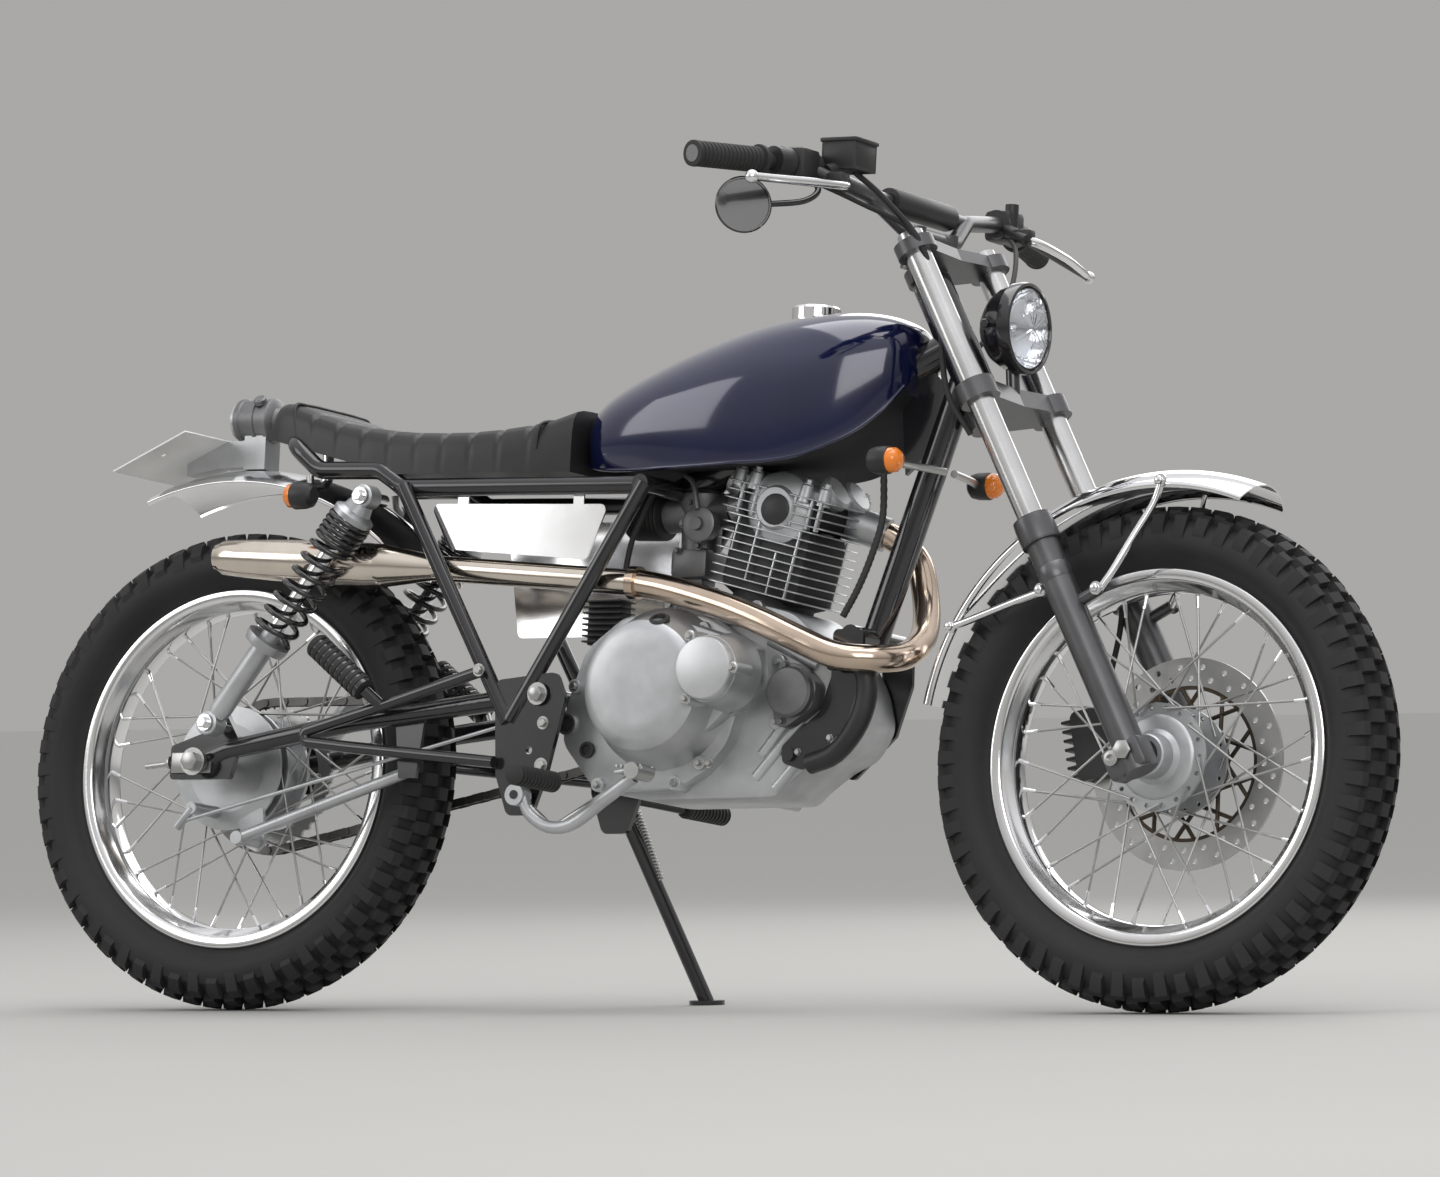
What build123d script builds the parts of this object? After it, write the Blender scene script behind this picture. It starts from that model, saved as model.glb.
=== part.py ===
"""A single-cylinder scrambler motorcycle, parked leaning on its side stand.

The model is laid out upright: x runs forward from the rear axle, y to the left, z up
from the ground.  At the end every piece is leaned over to its side stand and the
origin is moved to the middle of the ground that the machine covers.
"""
import math
import os

from build123d import *

os.makedirs("parts", exist_ok=True)

# Driving dimensions in millimetres and degrees

lean_angle = 7.03
seat_gap = 0.2          # clearance of a round piece in its seat
turn_gap = 0.4          # clearance of a bore that turns on an axle

wheelbase = 1413
rear_axle_height = 322
front_axle_height = 325
rear_tyre_half_width = 56
front_tyre_half_width = 52
crown_radius = 80       # across the tread
tread_depth = 12
tyre_wall = 8
bead_radius = 229
flange_radius = 243.5
rim_wall = 3
well_radius = 217.5     # top of the rim's well
rear_rim_half_width = 35
front_rim_half_width = 32

axle_radius = 8
spoke_radius = 1.6
spokes_per_side = 18
spoke_lead = 60         # degrees from a hub hole to its rim hole
spoke_stand = 6.4       # how far outside its flange an outer spoke starts

rake = 28
leg_spread = 95
steering_offset = 40    # from the steering axis forward to the legs
stanchion_radius = 17.5
slider_radius = 21.5
seal_radius = 25.5
slider_foot = 30        # below the axle
slider_top = 303.5      # above the axle, along the leg
seal_height = 37
leg_length = 766
clamp_thickness = 26
lower_clamp_at = 516
upper_clamp_at = 736
head_tube_radius = 26
stem_radius = 12
head_bearing_gap = 4

disc_radius = 137.5
disc_band = 37
disc_thickness = 4.5
disc_face = 59.5        # outer face, from the middle of the wheel

bar_radius = 11
frame_tube_radius = 12
strut_radius = 10.5
strut_spread = 120
rail_spread = 105
swingarm_spread = 100
swingarm_radius = 13.5
pivot = (540, 406)
shock_spread = 120
chain_line = 70
chain_pitch_radius = 101
front_pitch_radius = 38
gearbox_shaft = (600, 387)
pedal_pivot = (530, 270)
mirror_thread_radius = 4.35     # M10 x 1.25
mirror_thread_depth = 16
mirror_boss_top = 1097
lug_hole = (528, 332)
lug_hole_radius = 5.1
plate_hole_radius = 3.25
plate_hole_spread = 80
stand_pin_radius = 6

cylinder_tilt = 13.8
cylinder_base = (819, 0, 544)
fin_pitch = 11.5
fin_thickness = 3

lean = math.radians(lean_angle)
rake_angle = math.radians(rake)
rise = math.cos(rake_angle)
run = math.sin(rake_angle)

fork_plane = Plane(
    origin=(wheelbase, 0, front_axle_height),
    x_dir=(rise, 0, run),
    z_dir=(-run, 0, rise),
)
cylinder_plane = Plane(
    origin=cylinder_base,
    x_dir=(math.cos(math.radians(cylinder_tilt)), 0, -math.sin(math.radians(cylinder_tilt))),
    z_dir=(math.sin(math.radians(cylinder_tilt)), 0, math.cos(math.radians(cylinder_tilt))),
)


def on_fork(forward, left, up):
    """A point given along the fork: forward of the legs, to the left, up from the axle."""
    spot = fork_plane.from_local_coords((forward, left, up))
    return (spot.X, spot.Y, spot.Z)


def other_side(points):
    """The same points on the other side of the machine."""
    return [(x, -y, z) for x, y, z in points]


def rod(start, end, radius, mode=Mode.ADD):
    """A round bar from one point to another."""
    along = Vector(*end) - Vector(*start)
    with Locations(Plane(origin=start, z_dir=along)):
        Cylinder(radius, along.length, align=(Align.CENTER, Align.CENTER, Align.MIN), mode=mode)


def pipe(points, radius, bends, mode=Mode.ADD):
    """A round tube along straight runs joined by arcs, one bend radius for each corner."""
    with BuildLine() as route:
        FilletPolyline(*points, radius=bends)
    with BuildSketch(Plane(origin=route.line @ 0, z_dir=route.line % 0)) as section:
        Circle(radius)
    sweep(section.sketch, path=route.line, mode=mode)


def side_plate(outline, low, high, corner=0, mode=Mode.ADD):
    """A plate drawn from the side in x and z, between two values of y."""
    with BuildSketch(Plane.XZ.offset(-high)) as face:
        with BuildLine():
            Polyline(*outline, close=True)
        make_face()
        if corner:
            fillet(face.vertices(), corner)
    extrude(face.sketch, amount=high - low, mode=mode)


def cross_bar(x, z, low, high, radius, mode=Mode.ADD):
    """A round bar along y."""
    rod((x, low, z), (x, high, z), radius, mode)


def turned(outline, x, z, mode=Mode.ADD):
    """An outline of (y, radius) points turned about the line along y through x, z."""
    with BuildSketch(Plane(origin=(x, 0, z), x_dir=(0, 1, 0), z_dir=(1, 0, 0))) as face:
        with BuildLine():
            Polyline(*outline, close=True)
        make_face()
    revolve(face.sketch, axis=Axis((x, 0, z), (0, 1, 0)), mode=mode)


finished = []


def keep(piece, label):
    """Note a finished piece under its plain name."""
    piece.part.label = label
    finished.append(piece.part)


# Tyres and rims


def tyre_ring(x, z, half_width, bead, outer, shoulder, flare, mode=Mode.ADD):
    """The closed half-moon of a tyre, bead to bead, turned about the axle."""
    drop = crown_radius - math.sqrt(crown_radius**2 - shoulder**2)
    belly = (bead_radius + outer) / 2 + flare
    with BuildSketch(Plane(origin=(x, 0, z), x_dir=(0, 1, 0), z_dir=(1, 0, 0))) as section:
        with BuildLine():
            Line((-bead, bead_radius + seat_gap), (-bead, flange_radius + 3))
            ThreePointArc((-bead, flange_radius + 3), (-half_width, belly),
                          (-shoulder, outer - drop))
            ThreePointArc((-shoulder, outer - drop), (0, outer), (shoulder, outer - drop))
            ThreePointArc((shoulder, outer - drop), (half_width, belly),
                          (bead, flange_radius + 3))
            Line((bead, flange_radius + 3), (bead, bead_radius + seat_gap))
            Line((bead, bead_radius + seat_gap), (-bead, bead_radius + seat_gap))
        make_face()
    revolve(section.sketch, axis=Axis((x, 0, z), (0, 1, 0)), mode=mode)


def make_tyre(x, z, half_width, rim_half_width):
    bead = rim_half_width - rim_wall - seat_gap
    with BuildPart() as tyre:
        tyre_ring(x, z, half_width, bead, z, half_width - 5, 2)
        tyre_ring(x, z, half_width - tyre_wall, bead - tyre_wall, z - tread_depth - 6,
                  half_width - 14, 0, mode=Mode.SUBTRACT)
    return tyre


def make_rim(x, z, half_width):
    inner = half_width - rim_wall
    with BuildPart() as rim:
        turned([
            (-half_width, flange_radius), (-inner, flange_radius), (-inner, bead_radius),
            (-inner + 12, bead_radius), (-inner + 18, well_radius), (inner - 18, well_radius),
            (inner - 12, bead_radius), (inner, bead_radius), (inner, flange_radius),
            (half_width, flange_radius), (half_width, bead_radius - 4),
            (inner - 9, bead_radius - 4), (inner - 16, well_radius - rim_wall),
            (-inner + 16, well_radius - rim_wall), (-inner + 9, bead_radius - 4),
            (-half_width, bead_radius - 4),
        ], x, z)
    return rim


# Each side of a hub: y of the flange's outer face, y of its inner face, hole circle radius
front_flanges = [(-28.5, -23.5, 62), (35.5, 30.5, 62)]
rear_flanges = [(-23, -17, 76), (36, 30, 73)]


def make_spokes(x, z, flanges):
    """Crossed spokes: every other one starts outside its flange, leading or trailing."""
    rim_end = well_radius - rim_wall - 0.9
    with BuildPart() as spokes:
        for side, (outer_face, inner_face, hole_circle) in enumerate(flanges):
            outward = math.copysign(1, outer_face)
            for number in range(spokes_per_side):
                at_hub = math.radians(number * 360 / spokes_per_side + side * 10)
                turn = spoke_lead if number % 2 else -spoke_lead
                at_rim = at_hub + math.radians(turn)
                start_y = outer_face + outward * spoke_stand
                if number % 2:
                    start_y = inner_face - outward * (spoke_radius + seat_gap)
                start = (x + hole_circle * math.cos(at_hub), start_y,
                         z + hole_circle * math.sin(at_hub))
                end = (x + rim_end * math.cos(at_rim), outward * 4,
                       z + rim_end * math.sin(at_rim))
                rod(start, end, spoke_radius)
    return spokes


wheels = [
    # name, axle x, axle height, tyre half width, rim half width, hub flanges
    ("rear", 0, rear_axle_height, rear_tyre_half_width, rear_rim_half_width, rear_flanges),
    ("front", wheelbase, front_axle_height, front_tyre_half_width, front_rim_half_width,
     front_flanges),
]
for name, axle_x, axle_z, half_width, rim_half_width, flanges in wheels:
    keep(make_tyre(axle_x, axle_z, half_width, rim_half_width), f"{name}_tyre")
    keep(make_rim(axle_x, axle_z, rim_half_width), f"{name}_rim")
    keep(make_spokes(axle_x, axle_z, flanges), f"{name}_spokes")

# Front hub and brake disc

hub_bore = axle_radius + turn_gap
disc_inner_face = disc_face - disc_thickness
disc_centre_radius = 27

with BuildPart() as front_hub:
    turned([
        (-60, hub_bore), (-60, 27), (-28.5, 27), (-28.5, 70), (-23.5, 70), (-23.5, 24),
        (30.5, 24), (30.5, 70), (35.5, 70), (35.5, 33), (disc_inner_face, 33),
        (disc_inner_face, disc_centre_radius), (62, disc_centre_radius), (62, hub_bore),
    ], wheelbase, front_axle_height)
keep(front_hub, "front_hub")

with BuildPart() as brake_disc:
    with BuildSketch(Plane.XZ.offset(-disc_face)):
        with Locations((wheelbase, front_axle_height)):
            Circle(disc_radius)
            Circle(disc_centre_radius + seat_gap, mode=Mode.SUBTRACT)
            with PolarLocations(76, 6):
                SlotOverall(46, 26, rotation=90, mode=Mode.SUBTRACT)
    extrude(amount=disc_thickness)
keep(brake_disc, "brake_disc")

# Rear hub with its drum, and the sprocket

with BuildPart() as rear_hub:
    turned([
        (-23, hub_bore), (-23, 84), (-17, 84), (-17, 66), (30, 66), (30, 80), (36, 80),
        (36, 50), (66.8, 50), (66.8, hub_bore),
    ], 0, rear_axle_height)
keep(rear_hub, "rear_hub")

with BuildPart() as sprocket:
    with BuildSketch(Plane.XZ.offset(-73)):
        with Locations((0, rear_axle_height)):
            Circle(93)
            Circle(hub_bore, mode=Mode.SUBTRACT)
            with PolarLocations(70, 8):
                Circle(9, mode=Mode.SUBTRACT)
    extrude(amount=6)
keep(sprocket, "sprocket")

# Front fork

axle_end = 122
with BuildPart() as front_axle:
    cross_bar(wheelbase, front_axle_height, -axle_end, axle_end, axle_radius)
    for inner, outer in ((-leg_spread + slider_radius, -60.5), (62.5, leg_spread - slider_radius)):
        cross_bar(wheelbase, front_axle_height, inner, outer, 14)
keep(front_axle, "front_axle")

front_lug = on_fork(48.7, -leg_spread, 210.8)
rear_lug = on_fork(-27, -leg_spread, 248)
with BuildPart() as sliders:
    for side in (-1, 1):
        rod(on_fork(0, side * leg_spread, -slider_foot), on_fork(0, side * leg_spread, slider_top),
            slider_radius)
        rod(on_fork(0, side * leg_spread, slider_top),
            on_fork(0, side * leg_spread, slider_top + seal_height), seal_radius)
        rod(on_fork(0, side * leg_spread, 210.8), on_fork(50, side * leg_spread, 210.8), 8)
        rod(on_fork(0, side * leg_spread, 248), on_fork(-27, side * leg_spread, 248), 8)
    add(front_axle.part, mode=Mode.SUBTRACT)
keep(sliders, "fork_sliders")

stanchion_foot = slider_top + seal_height
with BuildPart() as stanchions:
    for side in (-1, 1):
        rod(on_fork(0, side * leg_spread, stanchion_foot), on_fork(0, side * leg_spread, leg_length),
            stanchion_radius)
keep(stanchions, "fork_stanchions")


with BuildPart() as fork_clamps:
    for height in (lower_clamp_at, upper_clamp_at):
        with BuildSketch(fork_plane.offset(height)) as clamp_face:
            with Locations((0, -leg_spread), (0, leg_spread)):
                Circle(27)
            with Locations((-steering_offset, 0)):
                Circle(30)
            for side in (-1, 1):
                with BuildLine():
                    Polyline((-steering_offset - 24, 0), (-18, side * leg_spread),
                             (18, side * leg_spread), (12, 0), close=True)
                make_face()
        extrude(amount=clamp_thickness if height == lower_clamp_at else 18)
    rod(on_fork(-steering_offset, 0, lower_clamp_at), on_fork(-steering_offset, 0, upper_clamp_at),
        stem_radius)
    for side in (-1, 1):
        rod(on_fork(0, side * leg_spread, lower_clamp_at - 5),
            on_fork(0, side * leg_spread, leg_length), stanchion_radius + seat_gap,
            mode=Mode.SUBTRACT)

bar_centre = (1030, 0, 1010)
riser_spread = 42
with BuildPart() as handlebar:
    half_bar = [(1030, 0, 1010), (1030, 58, 1010), (1009, 125, 1050), (985, 260, 1070),
                (966, 335, 1065), (935, 450, 1057)]
    bar_route = [(x, -y, z) for x, y, z in reversed(half_bar[1:])] + half_bar[1:]
    pipe(bar_route, bar_radius, [60, 60, 40, 40, 40, 40, 60, 60])
    cross_bar(1009, 1050, -128, 128, 9)
keep(handlebar, "handlebar")

with BuildPart() as bar_risers:
    for side in (-1, 1):
        rod(on_fork(-steering_offset, side * riser_spread, upper_clamp_at + 10),
            (1030, side * riser_spread, 1021), 15)
    add(handlebar.part, mode=Mode.SUBTRACT)
with BuildPart() as upper_assembly:
    add(fork_clamps.part)
    add(bar_risers.part)
    add(handlebar.part, mode=Mode.SUBTRACT)
keep(upper_assembly, "fork_clamps")

with BuildPart() as grips:
    for side in (-1, 1):
        rod((966, side * 335, 1065), (935, side * 450, 1057), 16)
    add(handlebar.part, mode=Mode.SUBTRACT)
keep(grips, "grips")

with BuildPart() as hand_controls:
    for side in (-1, 1):
        rod((990, side * 238, 1068), (976, side * 300, 1068.5), 19)
        rod((990, side * 252, 1066), (1040, side * 235, 1043), 9)
        rod((1040, side * 235, 1043), (1020, side * 441, 1025), 5)
        with Locations((1020, side * 441, 1025)):
            Sphere(8)
    with Locations((1022, -205, 1088)):
        Box(50, 54, 40)
    rod((1022, -205, 1075), (1010, -240, 1062), 10)
    rod((1000, 262, 1066), (1000, 262, mirror_boss_top), 9)
    rod((1000, 262, mirror_boss_top - mirror_thread_depth), (1000, 262, mirror_boss_top + 1),
        mirror_thread_radius, mode=Mode.SUBTRACT)
    add(handlebar.part, mode=Mode.SUBTRACT)
keep(hand_controls, "hand_controls")

with BuildPart() as mirror:
    rod((950, -348, 1004), (960, -359, 1004), 35)
    pipe([(992, -262, 1060), (1018, -262, 1024), (960, -330, 1010), (954, -348, 1004)], 4,
         [12, 30])
    add(hand_controls.part, mode=Mode.SUBTRACT)
    add(handlebar.part, mode=Mode.SUBTRACT)
keep(mirror, "mirror")

# Headlight

with BuildPart() as headlight_shell:
    with BuildSketch(Plane.XZ) as lamp_half:
        with BuildLine():
            Polyline((1124, 888), (1124, 905), (1136, 929), (1152, 944), (1180, 947), (1180, 941),
                     (1172, 941), (1172, 888), close=True)
        make_face()
    revolve(axis=Axis((0, 0, 888), (1, 0, 0)))
    rod((1161, 0, 838), (1164, 0, 800), 9)
    add(upper_assembly.part, mode=Mode.SUBTRACT)
keep(headlight_shell, "headlight_shell")

with BuildPart() as headlight_lens:
    with BuildSketch(Plane.XZ) as lens_half:
        with BuildLine():
            Polyline((1179, 940.8), (1172, 940.8), (1172, 888), (1185, 888))
            ThreePointArc((1185, 888), (1183.5, 915), (1179, 940.8))
        make_face()
    revolve(axis=Axis((0, 0, 888), (1, 0, 0)))
keep(headlight_lens, "headlight_lens")

# Front fender with its stays

fender_centre = (1420, 335)
fender_crown = 362
fender_edge = 338
fender_half_width = 60
fender_start = 170
fender_sweep = 100


def arched_strip(centre, crown, edge, half_width, thickness, start, sweep_angle):
    """A mudguard: an arched cross section turned about the wheel's own line."""
    angle = math.radians(start)
    with BuildSketch(Plane(origin=(centre[0], 0, centre[1]), x_dir=(0, 1, 0),
                           z_dir=(math.sin(angle), 0, -math.cos(angle)))) as section:
        with BuildLine():
            ThreePointArc((-half_width, edge), (0, crown), (half_width, edge))
            Line((half_width, edge), (half_width, edge - thickness))
            ThreePointArc((half_width, edge - thickness), (0, crown - thickness),
                          (-half_width, edge - thickness))
            Line((-half_width, edge - thickness), (-half_width, edge))
        make_face()
    revolve(section.sketch, axis=Axis((centre[0], 0, centre[1]), (0, 1, 0)),
            revolution_arc=sweep_angle)


with BuildPart() as front_fender:
    arched_strip(fender_centre, fender_crown, fender_edge, fender_half_width, 2, fender_start,
                 fender_sweep)
    for side in (-1, 1):
        pipe([(1421, side * 61, 674), (1395, side * 72, 600), (1357, side * leg_spread, 534)], 5,
             [40])
        rod((1122, side * 61, 493), (1276, side * leg_spread, 533), 5)
    add(sliders.part, mode=Mode.SUBTRACT)
keep(front_fender, "front_fender")

# Front brake caliper on its bracket

with BuildPart() as caliper:
    with Locations(Location((1284, 61, 352), (0, -12, 0))):
        Box(60, 46, 92)
    fillet(caliper.edges().filter_by(Axis.Y), 10)
    side_plate([(1290, 315), (1400, 352), (1392, 385), (1290, 390)], 66, 76)
    turned([(52, 0), (52, 143), (63, 143), (63, 0)], wheelbase, front_axle_height,
           mode=Mode.SUBTRACT)
    add(sliders.part, mode=Mode.SUBTRACT)
keep(caliper, "brake_caliper")

# Frame

with BuildPart() as frame_backbone:
    rod(on_fork(-steering_offset, 0, lower_clamp_at + clamp_thickness + head_bearing_gap),
        on_fork(-steering_offset, 0, upper_clamp_at - head_bearing_gap), head_tube_radius)
    rod(on_fork(-steering_offset, 0, 640), (674, 0, 682.5), 22)
    cross_bar(680, 682, -strut_spread - 6, strut_spread + 6, frame_tube_radius)
    side_plate([(1078, 806), (1052, 735), (1010, 700), (1000, 800), (1030, 850)], -4, 4)
    rod(on_fork(-steering_offset, 0, lower_clamp_at), on_fork(-steering_offset, 0, upper_clamp_at),
        stem_radius + turn_gap, mode=Mode.SUBTRACT)
keep(frame_backbone, "frame_backbone")

engine_bolt = (892, 329)
with BuildPart() as frame_downtube:
    rod((1096, 0, 841), (970, 0, 474), 18.5)
    cross_bar(974, 484, -66, 66, 14)
    cross_bar(*engine_bolt, -73, 73, 9)
    for side in (-1, 1):
        side_plate([(995, 492), (996, 430), (975, 365), (915, 308), (882, 318), (880, 340),
                    (935, 385), (950, 430), (950, 492)],
                   min(side * 62, side * 68), max(side * 62, side * 68), corner=8)
    add(frame_backbone.part, mode=Mode.SUBTRACT)
    rod(on_fork(-steering_offset, 0, lower_clamp_at), on_fork(-steering_offset, 0, upper_clamp_at),
        head_tube_radius, mode=Mode.SUBTRACT)
keep(frame_downtube, "frame_downtube")

with BuildPart() as seat_rails:
    rail_half = [(680, rail_spread, 682), (300, rail_spread, 687), (262, rail_spread, 711),
                 (165, rail_spread, 713), (108, rail_spread, 760)]
    rail_route = rail_half + other_side(reversed(rail_half))
    pipe(rail_route, frame_tube_radius, [30, 30, 35, 42, 42, 35, 30, 30])
    add(frame_backbone.part, mode=Mode.SUBTRACT)
keep(seat_rails, "seat_rails")

with BuildPart() as frame_struts:
    for side in (-1, 1):
        rod((685, side * strut_spread, 684), (494, side * strut_spread, 372), strut_radius)
        rod((308, side * strut_spread, 687), (492, side * strut_spread, 370), strut_radius)
        side_plate([(470, 425), (565, 435), (580, 400), (556, 300), (536, 246), (498, 246),
                    (478, 300)],
                   min(side * 116, side * 124), max(side * 116, side * 124), corner=12)
        rod((512, side * 124, 300), (595, side * 168, 285), 9)
    cross_bar(*pivot, -130, 130, 7)
    rod((517.4, 120, 261), (521.3, 150.4, 274.7), stand_pin_radius)
    cross_bar(*pedal_pivot, -160, -120, 6)
    cross_bar(*lug_hole, -130, 130, lug_hole_radius, mode=Mode.SUBTRACT)
    for part_there in (frame_backbone.part, seat_rails.part):
        add(part_there, mode=Mode.SUBTRACT)
keep(frame_struts, "frame_struts")

# Swingarm, axle, shocks, rear brake

with BuildPart() as rear_axle:
    cross_bar(0, rear_axle_height, -136, 136, axle_radius)
    cross_bar(0, rear_axle_height, -128, -114.5, 15)
    cross_bar(0, rear_axle_height, 114.5, 128, 15)
    cross_bar(0, rear_axle_height, -86, -44, 14)
    cross_bar(0, rear_axle_height, 74, 86, 14)
keep(rear_axle, "rear_axle")

with BuildPart() as swingarm:
    for side in (-1, 1):
        pipe([(-12, side * swingarm_spread, 322), (40, side * swingarm_spread, 340),
              (236, side * swingarm_spread, 375), (450, side * swingarm_spread, 399),
              (540, side * swingarm_spread, 406)], swingarm_radius, [60, 200, 200])
        side_plate([(-50, 300), (-50, 345), (0, 362), (8, 392), (34, 392), (60, 350), (45, 300)],
                   min(side * 96, side * 106), max(side * 96, side * 106), corner=6)
        cross_bar(*pivot, *sorted((side * 86, side * 115)), 19)
    cross_bar(*pivot, -100, 100, 11)
    side_plate([(300, 375), (345, 378), (335, 300), (308, 300)], -96, -90)
    for half in (frame_struts.part, rear_axle.part):
        add(half, mode=Mode.SUBTRACT)
keep(swingarm, "swingarm")

shock_foot = (22, 373)
shock_head = (251, 674)
shock_length = math.dist(shock_foot, shock_head)


def shock_point(share, side):
    """A point on a shock absorber, as a share of its length from the foot."""
    x = shock_foot[0] + (shock_head[0] - shock_foot[0]) * share
    z = shock_foot[1] + (shock_head[1] - shock_foot[1]) * share
    return (x, side * shock_spread, z)


with BuildPart() as shock_bodies:
    for side in (-1, 1):
        rod(shock_point(0.02, side), shock_point(0.42, side), 22)
        rod(shock_point(0.42, side), shock_point(0.9, side), 8)
        rod(shock_point(0.88, side), shock_point(0.985, side), 18)
        cross_bar(*shock_foot, *sorted((side * 106, side * 132)), 12)
        cross_bar(*shock_head, *sorted((side * 106, side * 132)), 12)
    add(swingarm.part, mode=Mode.SUBTRACT)
    add(seat_rails.part, mode=Mode.SUBTRACT)
    add(frame_struts.part, mode=Mode.SUBTRACT)
keep(shock_bodies, "shock_bodies")

with BuildPart() as shock_springs:
    for side in (-1, 1):
        rod(shock_point(0.3, side), shock_point(0.88, side), 26)
    add(shock_bodies.part, mode=Mode.SUBTRACT)
keep(shock_springs, "shock_springs")

with BuildPart() as brake_plate:
    turned([(-44, axle_radius + seat_gap), (-44, 60), (-41, 84), (-37, 84),
            (-37, axle_radius + seat_gap)], 0, rear_axle_height)
    side_plate([(20, 250), (60, 270), (66, 220), (53, 208), (38, 215)], -43, -37, corner=4)
    rod((53, -38, 223), (53, -94, 223), 9)
    rod((53, -85, 223), (321, -85, 311), 8)
    rod((-15, -38, 262), (-15, -104, 262), 8)
    rod((-15, -100, 262), (-38, -100, 236), 6)
    rod((-38, -100, 242), (500, -100, 375), 2.5)
    add(swingarm.part, mode=Mode.SUBTRACT)
    add(frame_struts.part, mode=Mode.SUBTRACT)
keep(brake_plate, "rear_brake")

# Chain, one fixed loop round both sprockets

sprocket_gap = 2
chain_half_height = 6
centre_distance = math.dist((0, rear_axle_height), gearbox_shaft)
line_angle = math.atan2(gearbox_shaft[1] - rear_axle_height, gearbox_shaft[0])
splay = math.asin((chain_pitch_radius - front_pitch_radius) / centre_distance)


with BuildPart() as chain:
    with BuildSketch(Plane.XZ.offset(-chain_line - 8)) as chain_face:
        for radius_change, how in ((chain_half_height, Mode.ADD), (-chain_half_height, Mode.SUBTRACT)):
            upper = line_angle - splay + math.pi / 2
            lower = line_angle + splay - math.pi / 2
            rear_radius = chain_pitch_radius + radius_change
            front_radius = front_pitch_radius + radius_change
            rear_top = (rear_radius * math.cos(upper),
                        rear_axle_height + rear_radius * math.sin(upper))
            rear_low = (rear_radius * math.cos(lower),
                        rear_axle_height + rear_radius * math.sin(lower))
            front_top = (gearbox_shaft[0] + front_radius * math.cos(upper),
                         gearbox_shaft[1] + front_radius * math.sin(upper))
            front_low = (gearbox_shaft[0] + front_radius * math.cos(lower),
                         gearbox_shaft[1] + front_radius * math.sin(lower))
            with BuildLine():
                Line(rear_top, front_top)
                ThreePointArc(front_top,
                              (gearbox_shaft[0] + front_radius * math.cos(line_angle),
                               gearbox_shaft[1] + front_radius * math.sin(line_angle)), front_low)
                Line(front_low, rear_low)
                ThreePointArc(rear_low,
                              (-rear_radius * math.cos(line_angle),
                               rear_axle_height - rear_radius * math.sin(line_angle)), rear_top)
            make_face(mode=how)
    extrude(amount=16)
keep(chain, "chain")

# Engine

case_outline = [(578, 350), (580, 395), (605, 455), (650, 505), (746, 550), (884, 516),
                (938, 470), (968, 420), (975, 375), (940, 322), (905, 296), (860, 282),
                (665, 280), (605, 290)]
with BuildPart() as crankcase:
    side_plate(case_outline, -60, 60, corner=10)
    cross_bar(*gearbox_shaft, 60, 78, front_pitch_radius - chain_half_height - 1)
    cross_bar(900, 408, -100, 60, 30)
    add(frame_downtube.part, mode=Mode.SUBTRACT)
    add(swingarm.part, mode=Mode.SUBTRACT)
keep(crankcase, "crankcase")

with BuildPart() as clutch_cover:
    with BuildSketch(Plane.XZ.offset(60)) as cover_face:
        with Locations((698, 405)):
            Circle(98)
        with Locations((812, 420)):
            Circle(62)
        with BuildLine():
            Polyline((690, 500), (818, 481), (830, 362), (700, 308), close=True)
        make_face()
    extrude(amount=40)
    cross_bar(698, 411, -150, -95, 82)
    cross_bar(812, 432, -165, -95, 38)
    add(crankcase.part, mode=Mode.SUBTRACT)
keep(clutch_cover, "clutch_cover")

with BuildPart() as generator_cover:
    cross_bar(800, 395, 60, 110, 80)
    side_plate([(640, 350), (650, 440), (740, 460), (740, 330), (660, 320)], 60, 95, corner=12)
    add(chain.part, mode=Mode.SUBTRACT)
    add(crankcase.part, mode=Mode.SUBTRACT)
keep(generator_cover, "generator_cover")

fin_count = 9
fin_length = 150
fin_width = 130
barrel_radius = 52
with BuildPart() as cylinder:
    with Locations(cylinder_plane.offset(-10)):
        Cylinder(barrel_radius, 106, align=(Align.CENTER, Align.CENTER, Align.MIN))
    for number in range(fin_count):
        with BuildSketch(cylinder_plane.offset(number * fin_pitch)):
            RectangleRounded(fin_length, fin_width, 20)
        extrude(amount=fin_thickness)
    add(crankcase.part, mode=Mode.SUBTRACT)
keep(cylinder, "cylinder")

head_foot = 96
with BuildPart() as cylinder_head:
    with Locations(cylinder_plane.offset(head_foot)):
        Cylinder(56, 54, align=(Align.CENTER, Align.CENTER, Align.MIN))
    for number in range(4):
        with BuildSketch(cylinder_plane.offset(head_foot + 4 + number * fin_pitch)):
            RectangleRounded(170, 126, 20)
        extrude(amount=fin_thickness)
    with BuildSketch(cylinder_plane.offset(head_foot + 42)):
        RectangleRounded(120, 110, 16)
    extrude(amount=10)
    rod((890, 24, 650), (955, 44, 630), 23)
    rod((800, 0, 674), (752, 0, 660), 20)
    add(cylinder.part, mode=Mode.SUBTRACT)
keep(cylinder_head, "cylinder_head")

with BuildPart() as carburettor:
    rod((752, 0, 660), (629, 0, 650), 23)
    rod((672, 0, 600), (672, 0, 688), 27)
    with Locations((672, 0, 590)):
        Box(60, 56, 40)
    add(cylinder_head.part, mode=Mode.SUBTRACT)
    add(frame_backbone.part, mode=Mode.SUBTRACT)
keep(carburettor, "carburettor")

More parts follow.
